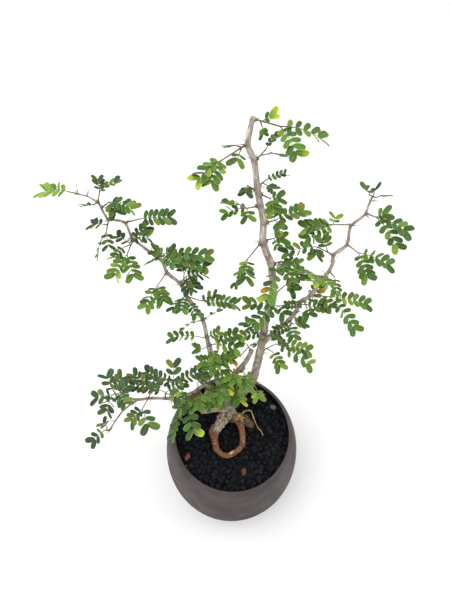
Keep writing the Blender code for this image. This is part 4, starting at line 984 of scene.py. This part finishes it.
def pot_profile():
    """The pot's outline from the middle of its floor up the inside, over the lip and down to the foot."""
    below_lip = POT_HEIGHT - WALL / 2
    inside = [(wall_radius(z) - WALL, z) for z in between(FLOOR, below_lip, INSIDE_STEPS)]
    outside = [(wall_radius(z), z) for z in between(below_lip, FOOT_ROUND, OUTSIDE_STEPS)]
    middle = MOUTH_RADIUS - WALL / 2
    lip = [(middle - WALL / 2 * math.cos(angle), POT_HEIGHT - LIP_ROUND + LIP_ROUND * math.sin(angle))
           for angle in map(math.radians, LIP_ANGLES)]
    foot = []
    for angle in map(math.radians, FOOT_ANGLES):
        height = FOOT_ROUND * (1 - math.sin(angle))
        foot.append((wall_radius(height) - FOOT_TUCK * (1 - math.cos(angle)), height))
    return [(0, FLOOR), *inside, *lip, *outside, *foot, (0, 0)]


def turned_pot(steps):
    """The pot's shell, turned from its outline."""
    bm = bmesh.new()
    corners = [bm.verts.new((radius, 0, height)) for radius, height in pot_profile()]
    lines = [bm.edges.new(pair) for pair in zip(corners, corners[1:])]
    bmesh.ops.spin(bm, geom=corners + lines, cent=(0, 0, 0), axis=(0, 0, 1), angle=2 * math.pi,
                   steps=steps, use_merge=True)
    bmesh.ops.remove_doubles(bm, verts=bm.verts, dist=JOIN)
    bmesh.ops.recalc_face_normals(bm, faces=bm.faces)
    return loose_object("turned_pot", mesh_from(bm, "turned_pot", True))


def drain_drill(hole):
    """A round bar that stands where the pot's floor has a hole."""
    turn = 2 * math.pi * (hole + 0.5) / DRAIN_HOLES
    centre = Vector((math.cos(turn), math.sin(turn), 0)) * DRAIN_CIRCLE
    bm = bmesh.new()
    bmesh.ops.create_cone(bm, cap_ends=True, segments=DRAIN_SIDES, radius1=DRAIN_RADIUS,
                          radius2=DRAIN_RADIUS, depth=DRILL_DEPTH, matrix=Matrix.Translation(centre))
    return loose_object("drill", mesh_from(bm, "drill", False))


def make_pot(settings):
    """The turned pot with its drained floor and its bare inside painted dark as shade."""
    pot = turned_pot(settings.steps)
    drills = [drain_drill(hole) for hole in range(DRAIN_HOLES)]
    for drill in drills:
        carve = pot.modifiers.new("Drain", "BOOLEAN")
        carve.operation = "DIFFERENCE"
        carve.object = drill
        carve.solver = "EXACT"
    mesh = applied(pot)
    for drill in drills:
        bpy.data.objects.remove(drill, do_unlink=True)
    mesh.materials.clear()
    finishes = [stoneware_finish(settings), inside_shade_finish(settings)]
    add_piece("stoneware_pot", mesh, finishes, "stoneware", "pot")
    # Inward faces below the lip take the second material, the inside's painted shade
    for face in mesh.polygons:
        inward = face.normal.x * face.center.x + face.normal.y * face.center.y < 0
        face.material_index = 1 if inward and face.center.z < POT_HEIGHT - LIP_ROUND else 0
    mesh.set_sharp_from_angle(angle=math.radians(SHARP_ANGLE))


def stone_points(draw, corners):
    """Points scattered near a ball, evenly round it."""
    for index in range(corners):
        height = 1 - 2 * (index + 0.5) / corners
        bearing = index * STONE_TURN + draw.uniform(-STONE_SWAY, STONE_SWAY)
        reach = draw.uniform(*STONE_REACHES)
        yield heading(bearing, math.degrees(math.asin(height))) * reach


def hull_stone(bm, place, size, turn, draw, corners, tint):
    """An angular stone: the hull of points scattered near a ball, stretched and turned."""
    layer = bm.verts.layers.float_color["tint"]
    points = [bm.verts.new(point) for point in stone_points(draw, corners)]
    hull = bmesh.ops.convex_hull(bm, input=points)
    inner = {vert for vert in hull["geom_interior"] if isinstance(vert, bmesh.types.BMVert)}
    kept = [vert for vert in points if vert not in inner]
    if inner:
        bmesh.ops.delete(bm, geom=list(inner), context="VERTS")
    tilt = Matrix.Rotation(draw.uniform(-STONE_TILT, STONE_TILT), 4, "X")
    spin = Matrix.Rotation(math.radians(turn), 4, "Z") @ tilt
    matrix = Matrix.Translation(place) @ spin @ Matrix.Diagonal((*size, 1))
    bmesh.ops.transform(bm, matrix=matrix, verts=kept)
    for vert in kept:
        vert[layer] = (*tint, 1.0)


def gravel_places(draw, spacing):
    """Jittered places over the bed, in a triangular lattice, with the tree's foot left free."""
    row_step = spacing * math.sqrt(3) / 2
    reach = int(GRAVEL_REACH / row_step) + 1
    for row in range(-reach, reach + 1):
        for column in range(-reach - 2, reach + 3):
            x = (column + (row % 2) / 2) * spacing + draw.uniform(-1, 1) * PEBBLE_JITTER * spacing
            y = row * row_step + draw.uniform(-1, 1) * PEBBLE_JITTER * spacing
            spot = Vector((x, y, 0))
            if spot.length < GRAVEL_REACH and (spot - TRUNK_FOOT).length > TRUNK_ROOM:
                yield spot


def chip_places():
    """The middles of the red chips, seen from above."""
    return [(sum(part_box(node), Vector()) / 2).xy for node in CHIPS]


def pebble_tint(draw, settings, spot):
    """Blue-black for most pebbles, rusty for a few, and pale at the named places."""
    for x, y in PALE_PEBBLES:
        if (spot - Vector((x, y, 0)) * MM).length < PALE_ROOM * settings.spacing:
            return settings.pale
    shade = draw.uniform(*PEBBLE_SHADE)
    rust = RUST if draw.random() < RUSTY_SHARE else 1.0
    return tuple(limited(part * shade * warm) for part, warm in zip(settings.lava, (rust, 1.0, 1 / rust)))


def strew_pebble(bm, draw, settings, spot, layer, chips):
    """A pebble of the bed or of the loose ones on it, where neither a chip nor the pot is in its way."""
    wide = draw.uniform(settings.least, settings.most) / 2
    size = (wide, wide * draw.uniform(*PEBBLE_WIDTHS), wide * draw.uniform(*PEBBLE_HEIGHTS))
    shift = Vector((draw.uniform(-1, 1), draw.uniform(-1, 1), 0)) * LOOSE_SHIFT * layer
    height = GRAVEL_TOP + draw.uniform(*PEBBLE_LEVELS) + LOOSE_RISE * layer
    place = spot + shift + Vector((0, 0, height))
    clear = min((place.xy - chip).length for chip in chips) > CHIP_ROOM
    if place.xy.length < GRAVEL_REACH and clear:
        turn = draw.uniform(0, 180)
        hull_stone(bm, place, size, turn, draw, PEBBLE_CORNERS, pebble_tint(draw, settings, spot))


def make_gravel(settings):
    """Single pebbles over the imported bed, with some loose ones on top."""
    bm = bmesh.new()
    bm.verts.layers.float_color.new("tint")
    draw = random.Random(PEBBLE_SEED)
    chips = chip_places()
    for spot in list(gravel_places(draw, settings.spacing)):
        for layer in range(2 if draw.random() < LOOSE_SHARE else 1):
            strew_pebble(bm, draw, settings, spot, layer, chips)
    pebbles = mesh_from(bm, "lava_pebbles", False)
    add_piece("lava_pebbles", pebbles, [lava_finish("lava_pebbles", settings)], "gravel")


def make_chip(node, tint, turn, settings):
    """A red lava chip, rougher than its solid and standing where it stands."""
    low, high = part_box(node)
    size = (high - low) / 2
    wide = max(size.x, size.y)
    form = [part * factor for part, factor in zip((wide, wide, size.z), CHIP_FORM)]
    bm = bmesh.new()
    bm.verts.layers.float_color.new("tint")
    hull_stone(bm, (low + high) / 2, form, turn, random.Random(turn), CHIP_CORNERS, tint)
    bmesh.ops.bevel(bm, geom=bm.edges[:], offset=CHIP_EDGE, offset_type="OFFSET", segments=2,
                    profile=0.5, affect="EDGES", material=-1, clamp_overlap=True)
    layer = bm.verts.layers.float_color["tint"]
    for vert in bm.verts:
        vert[layer] = (*tint, 1.0)
    name = node.replace("red_chip", "lava_chip")
    add_piece(name, mesh_from(bm, node, False), [lava_finish(name, settings)], "red_lava", node)


def knob_line(x, y, height, radius):
    """A short line whose radii swell and close, for a round lump of old wood."""
    line = []
    for step in range(-KNOB_STEPS, KNOB_STEPS + 1):
        rise = step / (KNOB_STEPS + 1)
        line.append((Vector((x, y, height + radius * rise)) * MM, radius * MM * math.sqrt(1 - rise ** 2)))
    return line


def spur_line(row):
    """A spray's short spur, from inside its stem."""
    base, direction, radius, reach = spur_reach(row)
    thick = limited(SPUR_TO_STEM * radius, *SPUR_RADII)
    end = base + direction * (reach - SPUR_SHORT)
    return [(base, thick), (base + direction * reach * SPUR_BEND, thick), (end, SPUR_TAPER * thick)]


def wood_lines():
    """Every tube of the wood: its name and its line of points and radii."""
    lines = [("trunk", route_line(TRUNK))]
    lines += [(name, route_line(route)) for name, route in {**ROOTS, **STEMS}.items()]
    lines += [("rootlet", route_line(route)) for route in ROOTLETS]
    lines += [("knob", knob_line(*knob)) for knob in KNOBS]
    lines += [("spur", spur_line(row)) for row in SPRAYS]
    return lines


def lookup(places):
    """Places arranged so that the nearest ones are found quickly."""
    tree = KDTree(len(places))
    for index, place in enumerate(places):
        tree.insert(place, index)
    tree.balance()
    return tree


def nearness(place, middle, reach, full=FADE):
    """Full near a middle, and fading to nothing at about a reach from it."""
    return limited(full - FADE * (place - middle).length / reach)


def tube_spots(name, line):
    """Spots along a tube: each one's place, tone, direction, distance along and radius."""
    low, high = TONES[name]
    whole = sum((end - start).length for (start, _), (end, _) in zip(line, line[1:]))
    passed = 0.0
    for (start, thick), (end, _) in zip(line, line[1:]):
        length = (end - start).length
        for step in range(max(1, round(length / TONE_STEP))):
            along = passed + step * TONE_STEP
            share = along / whole
            if name == "loop":
                share = 1.0 if share > LOOP_BARE else 0.0
            spot = start.lerp(end, step * TONE_STEP / length)
            yield spot, blended(low, high, share), (end - start) / length, along, thick
        passed += length


def wood_tones(lines):
    """The spots along all tubes of the wood, and a way to look them up by place."""
    spots = [spot for name, line in lines for spot in tube_spots(name, line)]
    return lookup([spot[0] for spot in spots]), spots


def node_places():
    """The bends of the stems, where leaves and thorns arise and the bark is darker."""
    places = [spur_reach(row)[0] for row in SPRAYS]
    for route in STEMS.values():
        places += [point for point, _ in route_line(route)[2:-1]]
    return lookup(places)


def wood_grain(place, tones):
    """Where a place lies round and along its tube, for streaks that follow the wood."""
    tree, spots = tones
    spot, _, axis, passed, _ = spots[tree.find(place)[1]]
    aside = place - spot
    along = aside.dot(axis)
    return aside - axis * along + Vector((0, 0, GRAIN_STRETCH)) * (passed + along)


def wood_tone(place, tones, nodes):
    """The bark's colour at a place."""
    tree, spots = tones
    near = tree.find_n(place, TONES_NEAR)
    weights = [1 / (abs(distance - spots[index][4]) + TONE_BLUR) ** 3 for _, index, distance in near]
    tone = tuple(sum(weight * spots[index][1][part] for weight, (_, index, _) in zip(weights, near))
                 / sum(weights) for part in range(3))
    blotch = limited(0.6 + 0.9 * noise.noise(place / BLOTCH))
    dark = limited(1 - nodes.find(place)[2] / NODE_REACH)
    tone = blended(tone, NODE_TONE, NODE_DEPTH * dark * blotch)
    tone = blended(tone, SCAR_TONE, nearness(place, SCAR, SCAR_REACH) * blotch)
    for stem, (cut, reach) in CUT_ENDS.items():
        end = route_line(STEMS.get(stem) or ROOTS[stem])[-1][0]
        tone = blended(tone, cut, nearness(place, end, reach, CUT_FULL))
    return tone


def relief_at(place, grain, settings):
    """How far the bark stands proud at a place."""
    bark = noise.noise(place / COARSE_BARK) + noise.noise(grain / FINE_BARK)
    knot = max(nearness(place / MM, Vector(middle), reach) for middle, reach in ROUGH_PLACES)
    lump = noise.noise(place / KNOT_LUMPS[0]) + 0.8 * noise.noise(place / KNOT_LUMPS[1])
    return settings.relief * bark + settings.knot_relief * knot * lump


def melted(lines):
    """The wood's tubes run together into one smooth body."""
    bm = tubes("wood", [line for _, line in lines], WOOD_SIDES)
    body = loose_object("wood", mesh_from(bm, "wood", True))
    melt = body.modifiers.new("Melt", "REMESH")
    melt.mode = "VOXEL"
    melt.voxel_size = WOOD_GRAIN
    bm = bmesh.new()
    bm.from_mesh(applied(body))
    for _ in range(WOOD_SMOOTHINGS):
        bmesh.ops.smooth_vert(bm, verts=bm.verts, factor=0.5, use_axis_x=True, use_axis_y=True,
                              use_axis_z=True)
    return bm


def wood_mesh(lines, settings):
    """The melted tubes with an uneven, painted surface, with painted shade in its hollows and painted light
    on its ridges.
    """
    bm = melted(lines)
    tones = wood_tones(lines)
    nodes = node_places()
    layer = bm.verts.layers.float_color.new("tone")
    grain = bm.verts.layers.float_vector.new("grain")
    bm.normal_update()
    for vert, normal in [(vert, vert.normal.copy()) for vert in bm.verts]:
        vert[grain] = wood_grain(vert.co, tones)
        proud = relief_at(vert.co, vert[grain], settings)
        # Painted shade in the hollows and painted light on the ridges
        shade = limited(1 + HOLLOW_PAINTED_SHADE * proud / settings.relief, *HOLLOW_PAINTED_SHADE_RANGE)
        tone = wood_tone(vert.co, tones, nodes)
        vert[layer] = (*(limited(part * shade) for part in tone), 1.0)
        vert.co += normal * proud
    return bm


def grow_thorn(bm, middle, radius, direction, length, settings):
    """A slender thorn out of a stem, dark at its point, in the second material."""
    foot = middle + direction * max(0, radius - THORN_SINK)
    turn = direction.to_track_quat("Z", "Y").to_matrix().to_4x4()
    place = Matrix.Translation(foot + direction * length / 2) @ turn
    made = bmesh.ops.create_cone(bm, cap_ends=True, segments=THORN_SIDES, radius1=THORN_RADIUS,
                                 radius2=THORN_POINT, depth=length, matrix=place)
    for face in {face for vert in made["verts"] for face in vert.link_faces}:
        face.material_index = 1
        face.smooth = True
    layer = bm.verts.layers.float_color["tone"]
    for vert in made["verts"]:
        tip = (vert.co - foot).dot(direction) > length / 2
        vert[layer] = (*(settings.thorn_tip if tip else settings.thorn), 1.0)


def bend_thorns(draw):
    """The pairs of thorns at the stems' bends, but not at cut ends: place, radius, direction, length."""
    for name, route in STEMS.items():
        line = route_line(route)
        for index in range(2, len(line)):
            foot, radius = line[index]
            axis = (foot - line[index - 1][0]).normalized()
            side = Matrix.Rotation(draw.uniform(0, 2 * math.pi), 3, axis) @ upright(axis)
            lengths = [draw.uniform(*THORN_LENGTHS) for _ in range(2)]
            if name in CUT_ENDS and index == len(line) - 1:
                continue
            for length, lean in zip(lengths, (-THORN_SPREAD, THORN_SPREAD)):
                outward = Matrix.Rotation(math.radians(lean), 3, axis) @ side
                yield foot, radius, (outward + axis * THORN_FORWARD).normalized(), length


def spur_thorns(draw):
    """The smaller pairs of thorns where the spurs arise, given in the same way."""
    for row in SPRAYS:
        base, direction, radius, _ = spur_reach(row)
        for lean in (-THORN_SPREAD, THORN_SPREAD):
            outward = Matrix.Rotation(math.radians(lean), 3, upright(direction)) @ direction
            yield base, radius, outward, draw.uniform(*SPUR_THORN_LENGTHS)


def make_tree(settings):
    """The wood with its thorns."""
    bm = wood_mesh(wood_lines(), settings)
    draw = random.Random(THORN_SEED)
    for thorn in (*bend_thorns(draw), *spur_thorns(draw)):
        grow_thorn(bm, *thorn, settings)
    mesh = mesh_from(bm, "tree_wood", True)
    add_piece("tree_wood", mesh, [bark_finish(), thorn_finish()], "bark", "tree")


def blade_place(middle, axis, up, across, turn, lift, twist):
    """Where a leaflet lies: its width, its length and its face as the columns of a matrix."""
    sideways = across * math.cos(lift) + up * math.sin(lift)
    outward = axis * math.cos(turn) + sideways * math.sin(turn)
    ahead = axis * math.sin(turn) - sideways * math.cos(turn)
    face = ahead.cross(outward)
    if face.dot(up) < 0:
        ahead = -ahead
        face = -face
    spin = Matrix.Rotation(twist, 3, outward)
    turned = Matrix((spin @ ahead, outward, spin @ face)).transposed().to_4x4()
    return Matrix.Translation(middle) @ turned


def leaflet_sheet(bm, length, width, tint, tip, draw):
    """An oval sheet, folded at its midrib and drooping to its tip, with its colours."""
    tints = bm.verts.layers.float_color["tint"]
    blades = bm.verts.layers.float_vector["blade"]
    made = bmesh.ops.create_grid(bm, x_segments=BLADE_COLUMNS, y_segments=BLADE_ROWS, size=1)
    fold = draw.uniform(*BLADE_FOLDS)
    droop = draw.uniform(*BLADE_DROOPS)
    cup = draw.uniform(*BLADE_CUPS)
    base, growth = BLADE_SHOULDERS
    for vert in made["verts"]:
        across, along = vert.co.x, (vert.co.y + 1) / 2
        span = (1 - math.cos(math.pi * along)) / 2
        inside = 0 < along < 1
        wide = math.sin(math.pi * along) ** BLADE_FULLNESS * (base + growth * span) if inside else 0.0
        height = abs(across) * wide * width / 2 * fold - droop * length * span ** 2 + cup * width * across
        vert[blades] = (across, span, 0.0)
        vert[tints] = (*blended(tint, tip, limited(AGED_STEP * span - 1)), 1.0)
        vert.co = (across * wide * width / 2, span * length, height)
    bmesh.ops.remove_doubles(bm, verts=made["verts"], dist=JOIN)
    return [vert for vert in made["verts"] if vert.is_valid]


def grow_leaflet(bm, place, length, width, tint, tip, draw, thickness):
    """One leaflet: a sheet laid in its place and given a thickness, with its underside marked."""
    sheet = leaflet_sheet(bm, length, width, tint, tip, draw)
    faces = list({face for vert in sheet for face in vert.link_faces})
    bmesh.ops.transform(bm, matrix=place, verts=sheet)
    blades = bm.verts.layers.float_vector["blade"]
    for part in bmesh.ops.solidify(bm, geom=faces, thickness=thickness)["geom"]:
        if isinstance(part, bmesh.types.BMVert):
            part[blades] = (part[blades].x, part[blades].y, 1.0)


def leaflet_tint(mood, draw):
    """A leaflet's own green."""
    low, high = MOODS[mood]
    tint = blended(blended(low, high, draw.random()), YOUNG, YOUNG_SHARE * draw.random() ** 5)
    shade = draw.uniform(*LEAFLET_SHADE)
    return tuple(limited(part * shade) for part in tint)


def leaflet_angles(share, draw):
    """How far a leaflet turns from its rib, lifts from its pinna's plane and twists on its own axis."""
    first, last = LEAFLET_ANGLES
    turn = first + (last - first) * share + draw.uniform(-LEAFLET_SWAY, LEAFLET_SWAY)
    lift = LEAFLET_LIFT + draw.uniform(-LEAFLET_SWAY, LEAFLET_SWAY)
    twist = LEAFLET_TWIST * draw.uniform(*TWIST_SHARES)
    if draw.random() < TURNED_SHARE:
        twist += draw.uniform(*TURNED_TWIST) * draw.choice((-1, 1))
    return math.radians(turn), math.radians(lift), math.radians(twist)


def rib_point(start, axis, up, reach, run, share):
    """A point on the arched rib of a pinna."""
    return start + axis * run * share + up * RIB_ARCH * reach * 4 * share * (1 - share)


def rib_line(*rib):
    """The line of a pinna's rib, thinning to its tip."""
    thick, thin = RIB_RADII
    return [(rib_point(*rib, share), thick + (thin - thick) * share) for share in between(0, 1, RIB_STEPS)]


def pinna_leaflets(start, row, mood, draw, settings):
    """The place, size and colours of each leaflet of a pinna, and its rib's line."""
    axis = heading(row["bearing"], row["rise"])
    up = upright(axis, row["roll"])
    side = up.cross(axis)
    full = settings.length * row["scale"]
    run = max(row["reach"] - TERMINAL_REACH * full, LEAST_RUN)
    rib = (start, axis, up, row["reach"], run)
    first = max(FIRST_PAIR, CLEAR_OF_FORK / run)
    pairs = row["pairs"]
    spacing = run * (1 - first) / (pairs - 1) if pairs > 1 else full
    leaflets = []
    for pair in range(pairs):
        share = pair / (pairs - 1) if pairs > 1 else 1
        room = spacing * (PAIR_ROOM if pair < pairs - 1 else TERMINAL_ROOM)
        middle = rib_point(*rib, first + (1 - first) * share)
        for across in (side, -side):
            grown = (LEAFLET_START + (1 - LEAFLET_START) * share) * draw.uniform(*LEAFLET_GROWTH)
            angles = leaflet_angles(share, draw)
            place = blade_place(middle + across * RIB_RADII[1], axis, up, across, *angles)
            length = full * grown
            wide = settings.width * length / settings.length * draw.uniform(*LEAFLET_WIDTHS)
            width = min(wide, max(LEAST_SLIMNESS * length, room))
            tint = leaflet_tint(mood, draw)
            leaflets.append([place, length, width, tint, tint])
    return leaflets, rib_line(*rib)


def spray_plan(row, draw, settings):
    """A spray's stalks and ribs as lines, and its leaflets."""
    mood = SPRAY_MOODS.get(row["name"], "green")
    base, out, radius, reach = spur_reach(row)
    start = base + out * (reach + GAP + KNUCKLE)
    lines = []
    leaflets = []
    for stalk in row["leaves"]:
        end = start + heading(stalk["bearing"], stalk["rise"]) * stalk["length"]
        thick, thin = STALK_RADII
        lines.append([(base + out * (reach - MM), thick), (start, thick), (end, thin)])
        for feather in stalk["pinnae"]:
            blades, rib = pinna_leaflets(end, feather, mood, draw, settings)
            leaflets += blades
            lines.append(rib)
    return lines, leaflets


def age_leaflets(plans):
    """Colour the leaflets nearest to the named places with their age."""
    leaflets = [leaflet for _, blades in plans for leaflet in blades]
    for place, tint, share in AGED:
        spot = Vector(place) * MM
        leaflet = min(leaflets, key=lambda one: (one[0] @ Vector((0, one[1] / 2, 0)) - spot).length)
        leaflet[3] = blended(leaflet[3], tint, share)
        leaflet[4] = tint


def make_spray(row, plan, settings, finishes):
    """A spray's stalks and leaflets as one piece."""
    lines, leaflets = plan
    name = row["name"]
    bm = tubes(name, lines, STALK_SIDES)
    for face in bm.faces:
        face.material_index = 1
    bm.verts.layers.float_color.new("tint")
    bm.verts.layers.float_vector.new("blade")
    draw = random.Random(name)
    for leaflet in leaflets:
        grow_leaflet(bm, *leaflet, draw, settings.thickness)
    bmesh.ops.recalc_face_normals(bm, faces=bm.faces)
    mesh = mesh_from(bm, "foliage_" + name, True)
    add_piece("foliage_" + name, mesh, finishes, "leaf", "leaves_" + name)


def make_camera(settings):
    """The camera at the photograph's place and angle."""
    ahead = Vector((0, math.cos(settings.pitch), -math.sin(settings.pitch)))
    below = Vector((0, -math.sin(settings.pitch), -math.cos(settings.pitch)))
    right = Vector((math.cos(settings.roll), 0, 0)) + below * math.sin(settings.roll)
    down = below * math.cos(settings.roll) - Vector((math.sin(settings.roll), 0, 0))
    data = bpy.data.cameras.new("camera")
    data.lens = settings.lens
    camera = loose_object("camera", data)
    turn = Matrix((right, -down, -ahead)).transposed().to_4x4()
    camera.matrix_world = Matrix.Translation(settings.eye) @ turn
    bpy.context.scene.camera = camera


def make_floor(settings):
    """A wide plain floor."""
    finish, wiring = new_finish("pale_floor")
    cloud = wiring.mottle(3.0, 0.2, 0.2, 0.8)
    pale = wiring.mix(cloud, settings.floor, blended(settings.floor, (0.8, 0.8, 0.8), 0.3))
    wiring.dress(pale, 0.7, cloud, 0.01 * MM)
    bm = bmesh.new()
    bmesh.ops.create_grid(bm, x_segments=1, y_segments=1, size=FLOOR_SIZE)
    floor = loose_object("floor", mesh_from(bm, "floor", False))
    floor.data.materials.append(finish)
    floor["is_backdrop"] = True


def soft_light(name, place, size, power):
    """A square light that faces the tree."""
    data = bpy.data.lights.new(name, "AREA")
    data.shape = "SQUARE"
    data.size = size
    data.energy = power
    light = loose_object(name, data)
    aim = (Vector(LIGHT_TARGET) - Vector(place)).to_track_quat("-Z", "Y").to_matrix().to_4x4()
    light.matrix_world = Matrix.Translation(place) @ aim


def make_sky(settings):
    """Even white light from all round."""
    world = bpy.data.worlds.new("studio")
    world.use_nodes = True
    sky = world.node_tree.nodes["Background"]
    sky.inputs["Color"].default_value = (1.0, 1.0, 1.0, 1.0)
    sky.inputs["Strength"].default_value = settings.fill
    bpy.context.scene.world = world


class BONSAI_OT_pot(bpy.types.Operator):
    """Turn the stoneware pot"""

    bl_idname = "bonsai.pot"
    bl_label = "Pot"

    def execute(self, context):
        make_pot(context.scene.bonsai_pot)
        return {"FINISHED"}


class BONSAI_OT_potting(bpy.types.Operator):
    """Finish the drainage mesh and the potting mix"""

    bl_idname = "bonsai.potting"
    bl_label = "Potting"

    def execute(self, context):
        paint_node("drainage_mesh", mesh_finish())
        paint_node("potting_mix", soil_finish())
        return {"FINISHED"}


class BONSAI_OT_gravel(bpy.types.Operator):
    """Strew the lava gravel and its two red chips"""

    bl_idname = "bonsai.gravel"
    bl_label = "Gravel"

    def execute(self, context):
        settings = context.scene.bonsai_gravel
        # The imported bed shows between the pebbles and is painted dark as shade there
        paint_node("lava_gravel", lava_finish("lava_bed_painted_shade", settings, tinted=False))
        make_gravel(settings)
        for node, (tint, turn) in CHIPS.items():
            make_chip(node, tint, turn, settings)
        return {"FINISHED"}


class BONSAI_OT_tree(bpy.types.Operator):
    """Grow the roots, trunk, stems, spurs and thorns"""

    bl_idname = "bonsai.tree"
    bl_label = "Tree"

    def execute(self, context):
        make_tree(context.scene.bonsai_tree)
        return {"FINISHED"}


class BONSAI_OT_leaves(bpy.types.Operator):
    """Grow the sprays of twice-divided leaves"""

    bl_idname = "bonsai.leaves"
    bl_label = "Leaves"

    def execute(self, context):
        settings = context.scene.bonsai_leaves
        draw = random.Random(LEAF_SEED)
        finishes = [leaf_finish(), stalk_finish(settings)]
        plans = [spray_plan(row, draw, settings) for row in SPRAYS]
        age_leaflets(plans)
        for row, plan in zip(SPRAYS, plans):
            make_spray(row, plan, settings, finishes)
        return {"FINISHED"}


class BONSAI_OT_stage(bpy.types.Operator):
    """Set up the camera, the floor and the soft lights"""

    bl_idname = "bonsai.stage"
    bl_label = "Stage"

    def execute(self, context):
        settings = context.scene.bonsai_stage
        context.scene.view_settings.view_transform = "Standard"
        make_camera(settings)
        make_floor(settings)
        soft_light("key_light", KEY_PLACE, KEY_SIZE, settings.key)
        soft_light("side_light", SIDE_PLACE, SIDE_SIZE, SIDE_SHARE * settings.key)
        make_sky(settings)
        return {"FINISHED"}


class BONSAI_PT_panel(bpy.types.Panel):
    """Builds the bonsai's pieces one by one"""

    bl_label = "Texas Ebony Bonsai"
    bl_idname = "BONSAI_PT_panel"
    bl_space_type = "VIEW_3D"
    bl_region_type = "UI"
    bl_category = "Bonsai"

    def draw(self, context):
        for operator in OPERATORS:
            self.layout.operator(operator.bl_idname)
        for name, kind in SETTINGS.items():
            box = self.layout.box()
            for field in kind.__annotations__:
                box.prop(getattr(context.scene, name), field)


SETTINGS = {
    "bonsai_pot": PotSettings, "bonsai_gravel": GravelSettings, "bonsai_tree": TreeSettings,
    "bonsai_leaves": LeafSettings, "bonsai_stage": StageSettings,
}
OPERATORS = (BONSAI_OT_pot, BONSAI_OT_potting, BONSAI_OT_gravel, BONSAI_OT_tree, BONSAI_OT_leaves,
             BONSAI_OT_stage)


def register():
    for kind in (*SETTINGS.values(), *OPERATORS, BONSAI_PT_panel):
        bpy.utils.register_class(kind)
    for name, kind in SETTINGS.items():
        setattr(bpy.types.Scene, name, PointerProperty(type=kind))


def unregister():
    for name in SETTINGS:
        delattr(bpy.types.Scene, name)
    for kind in (BONSAI_PT_panel, *reversed(OPERATORS), *reversed(SETTINGS.values())):
        bpy.utils.unregister_class(kind)


def main():
    register()
    bpy.ops.bonsai.stage()
    bpy.ops.bonsai.pot()
    bpy.ops.bonsai.potting()
    bpy.ops.bonsai.gravel()
    bpy.ops.bonsai.tree()
    bpy.ops.bonsai.leaves()
    [[list(corner) for corner in box] for box in (CAD_BOX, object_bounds())]


if __name__ == "__main__":
    main()
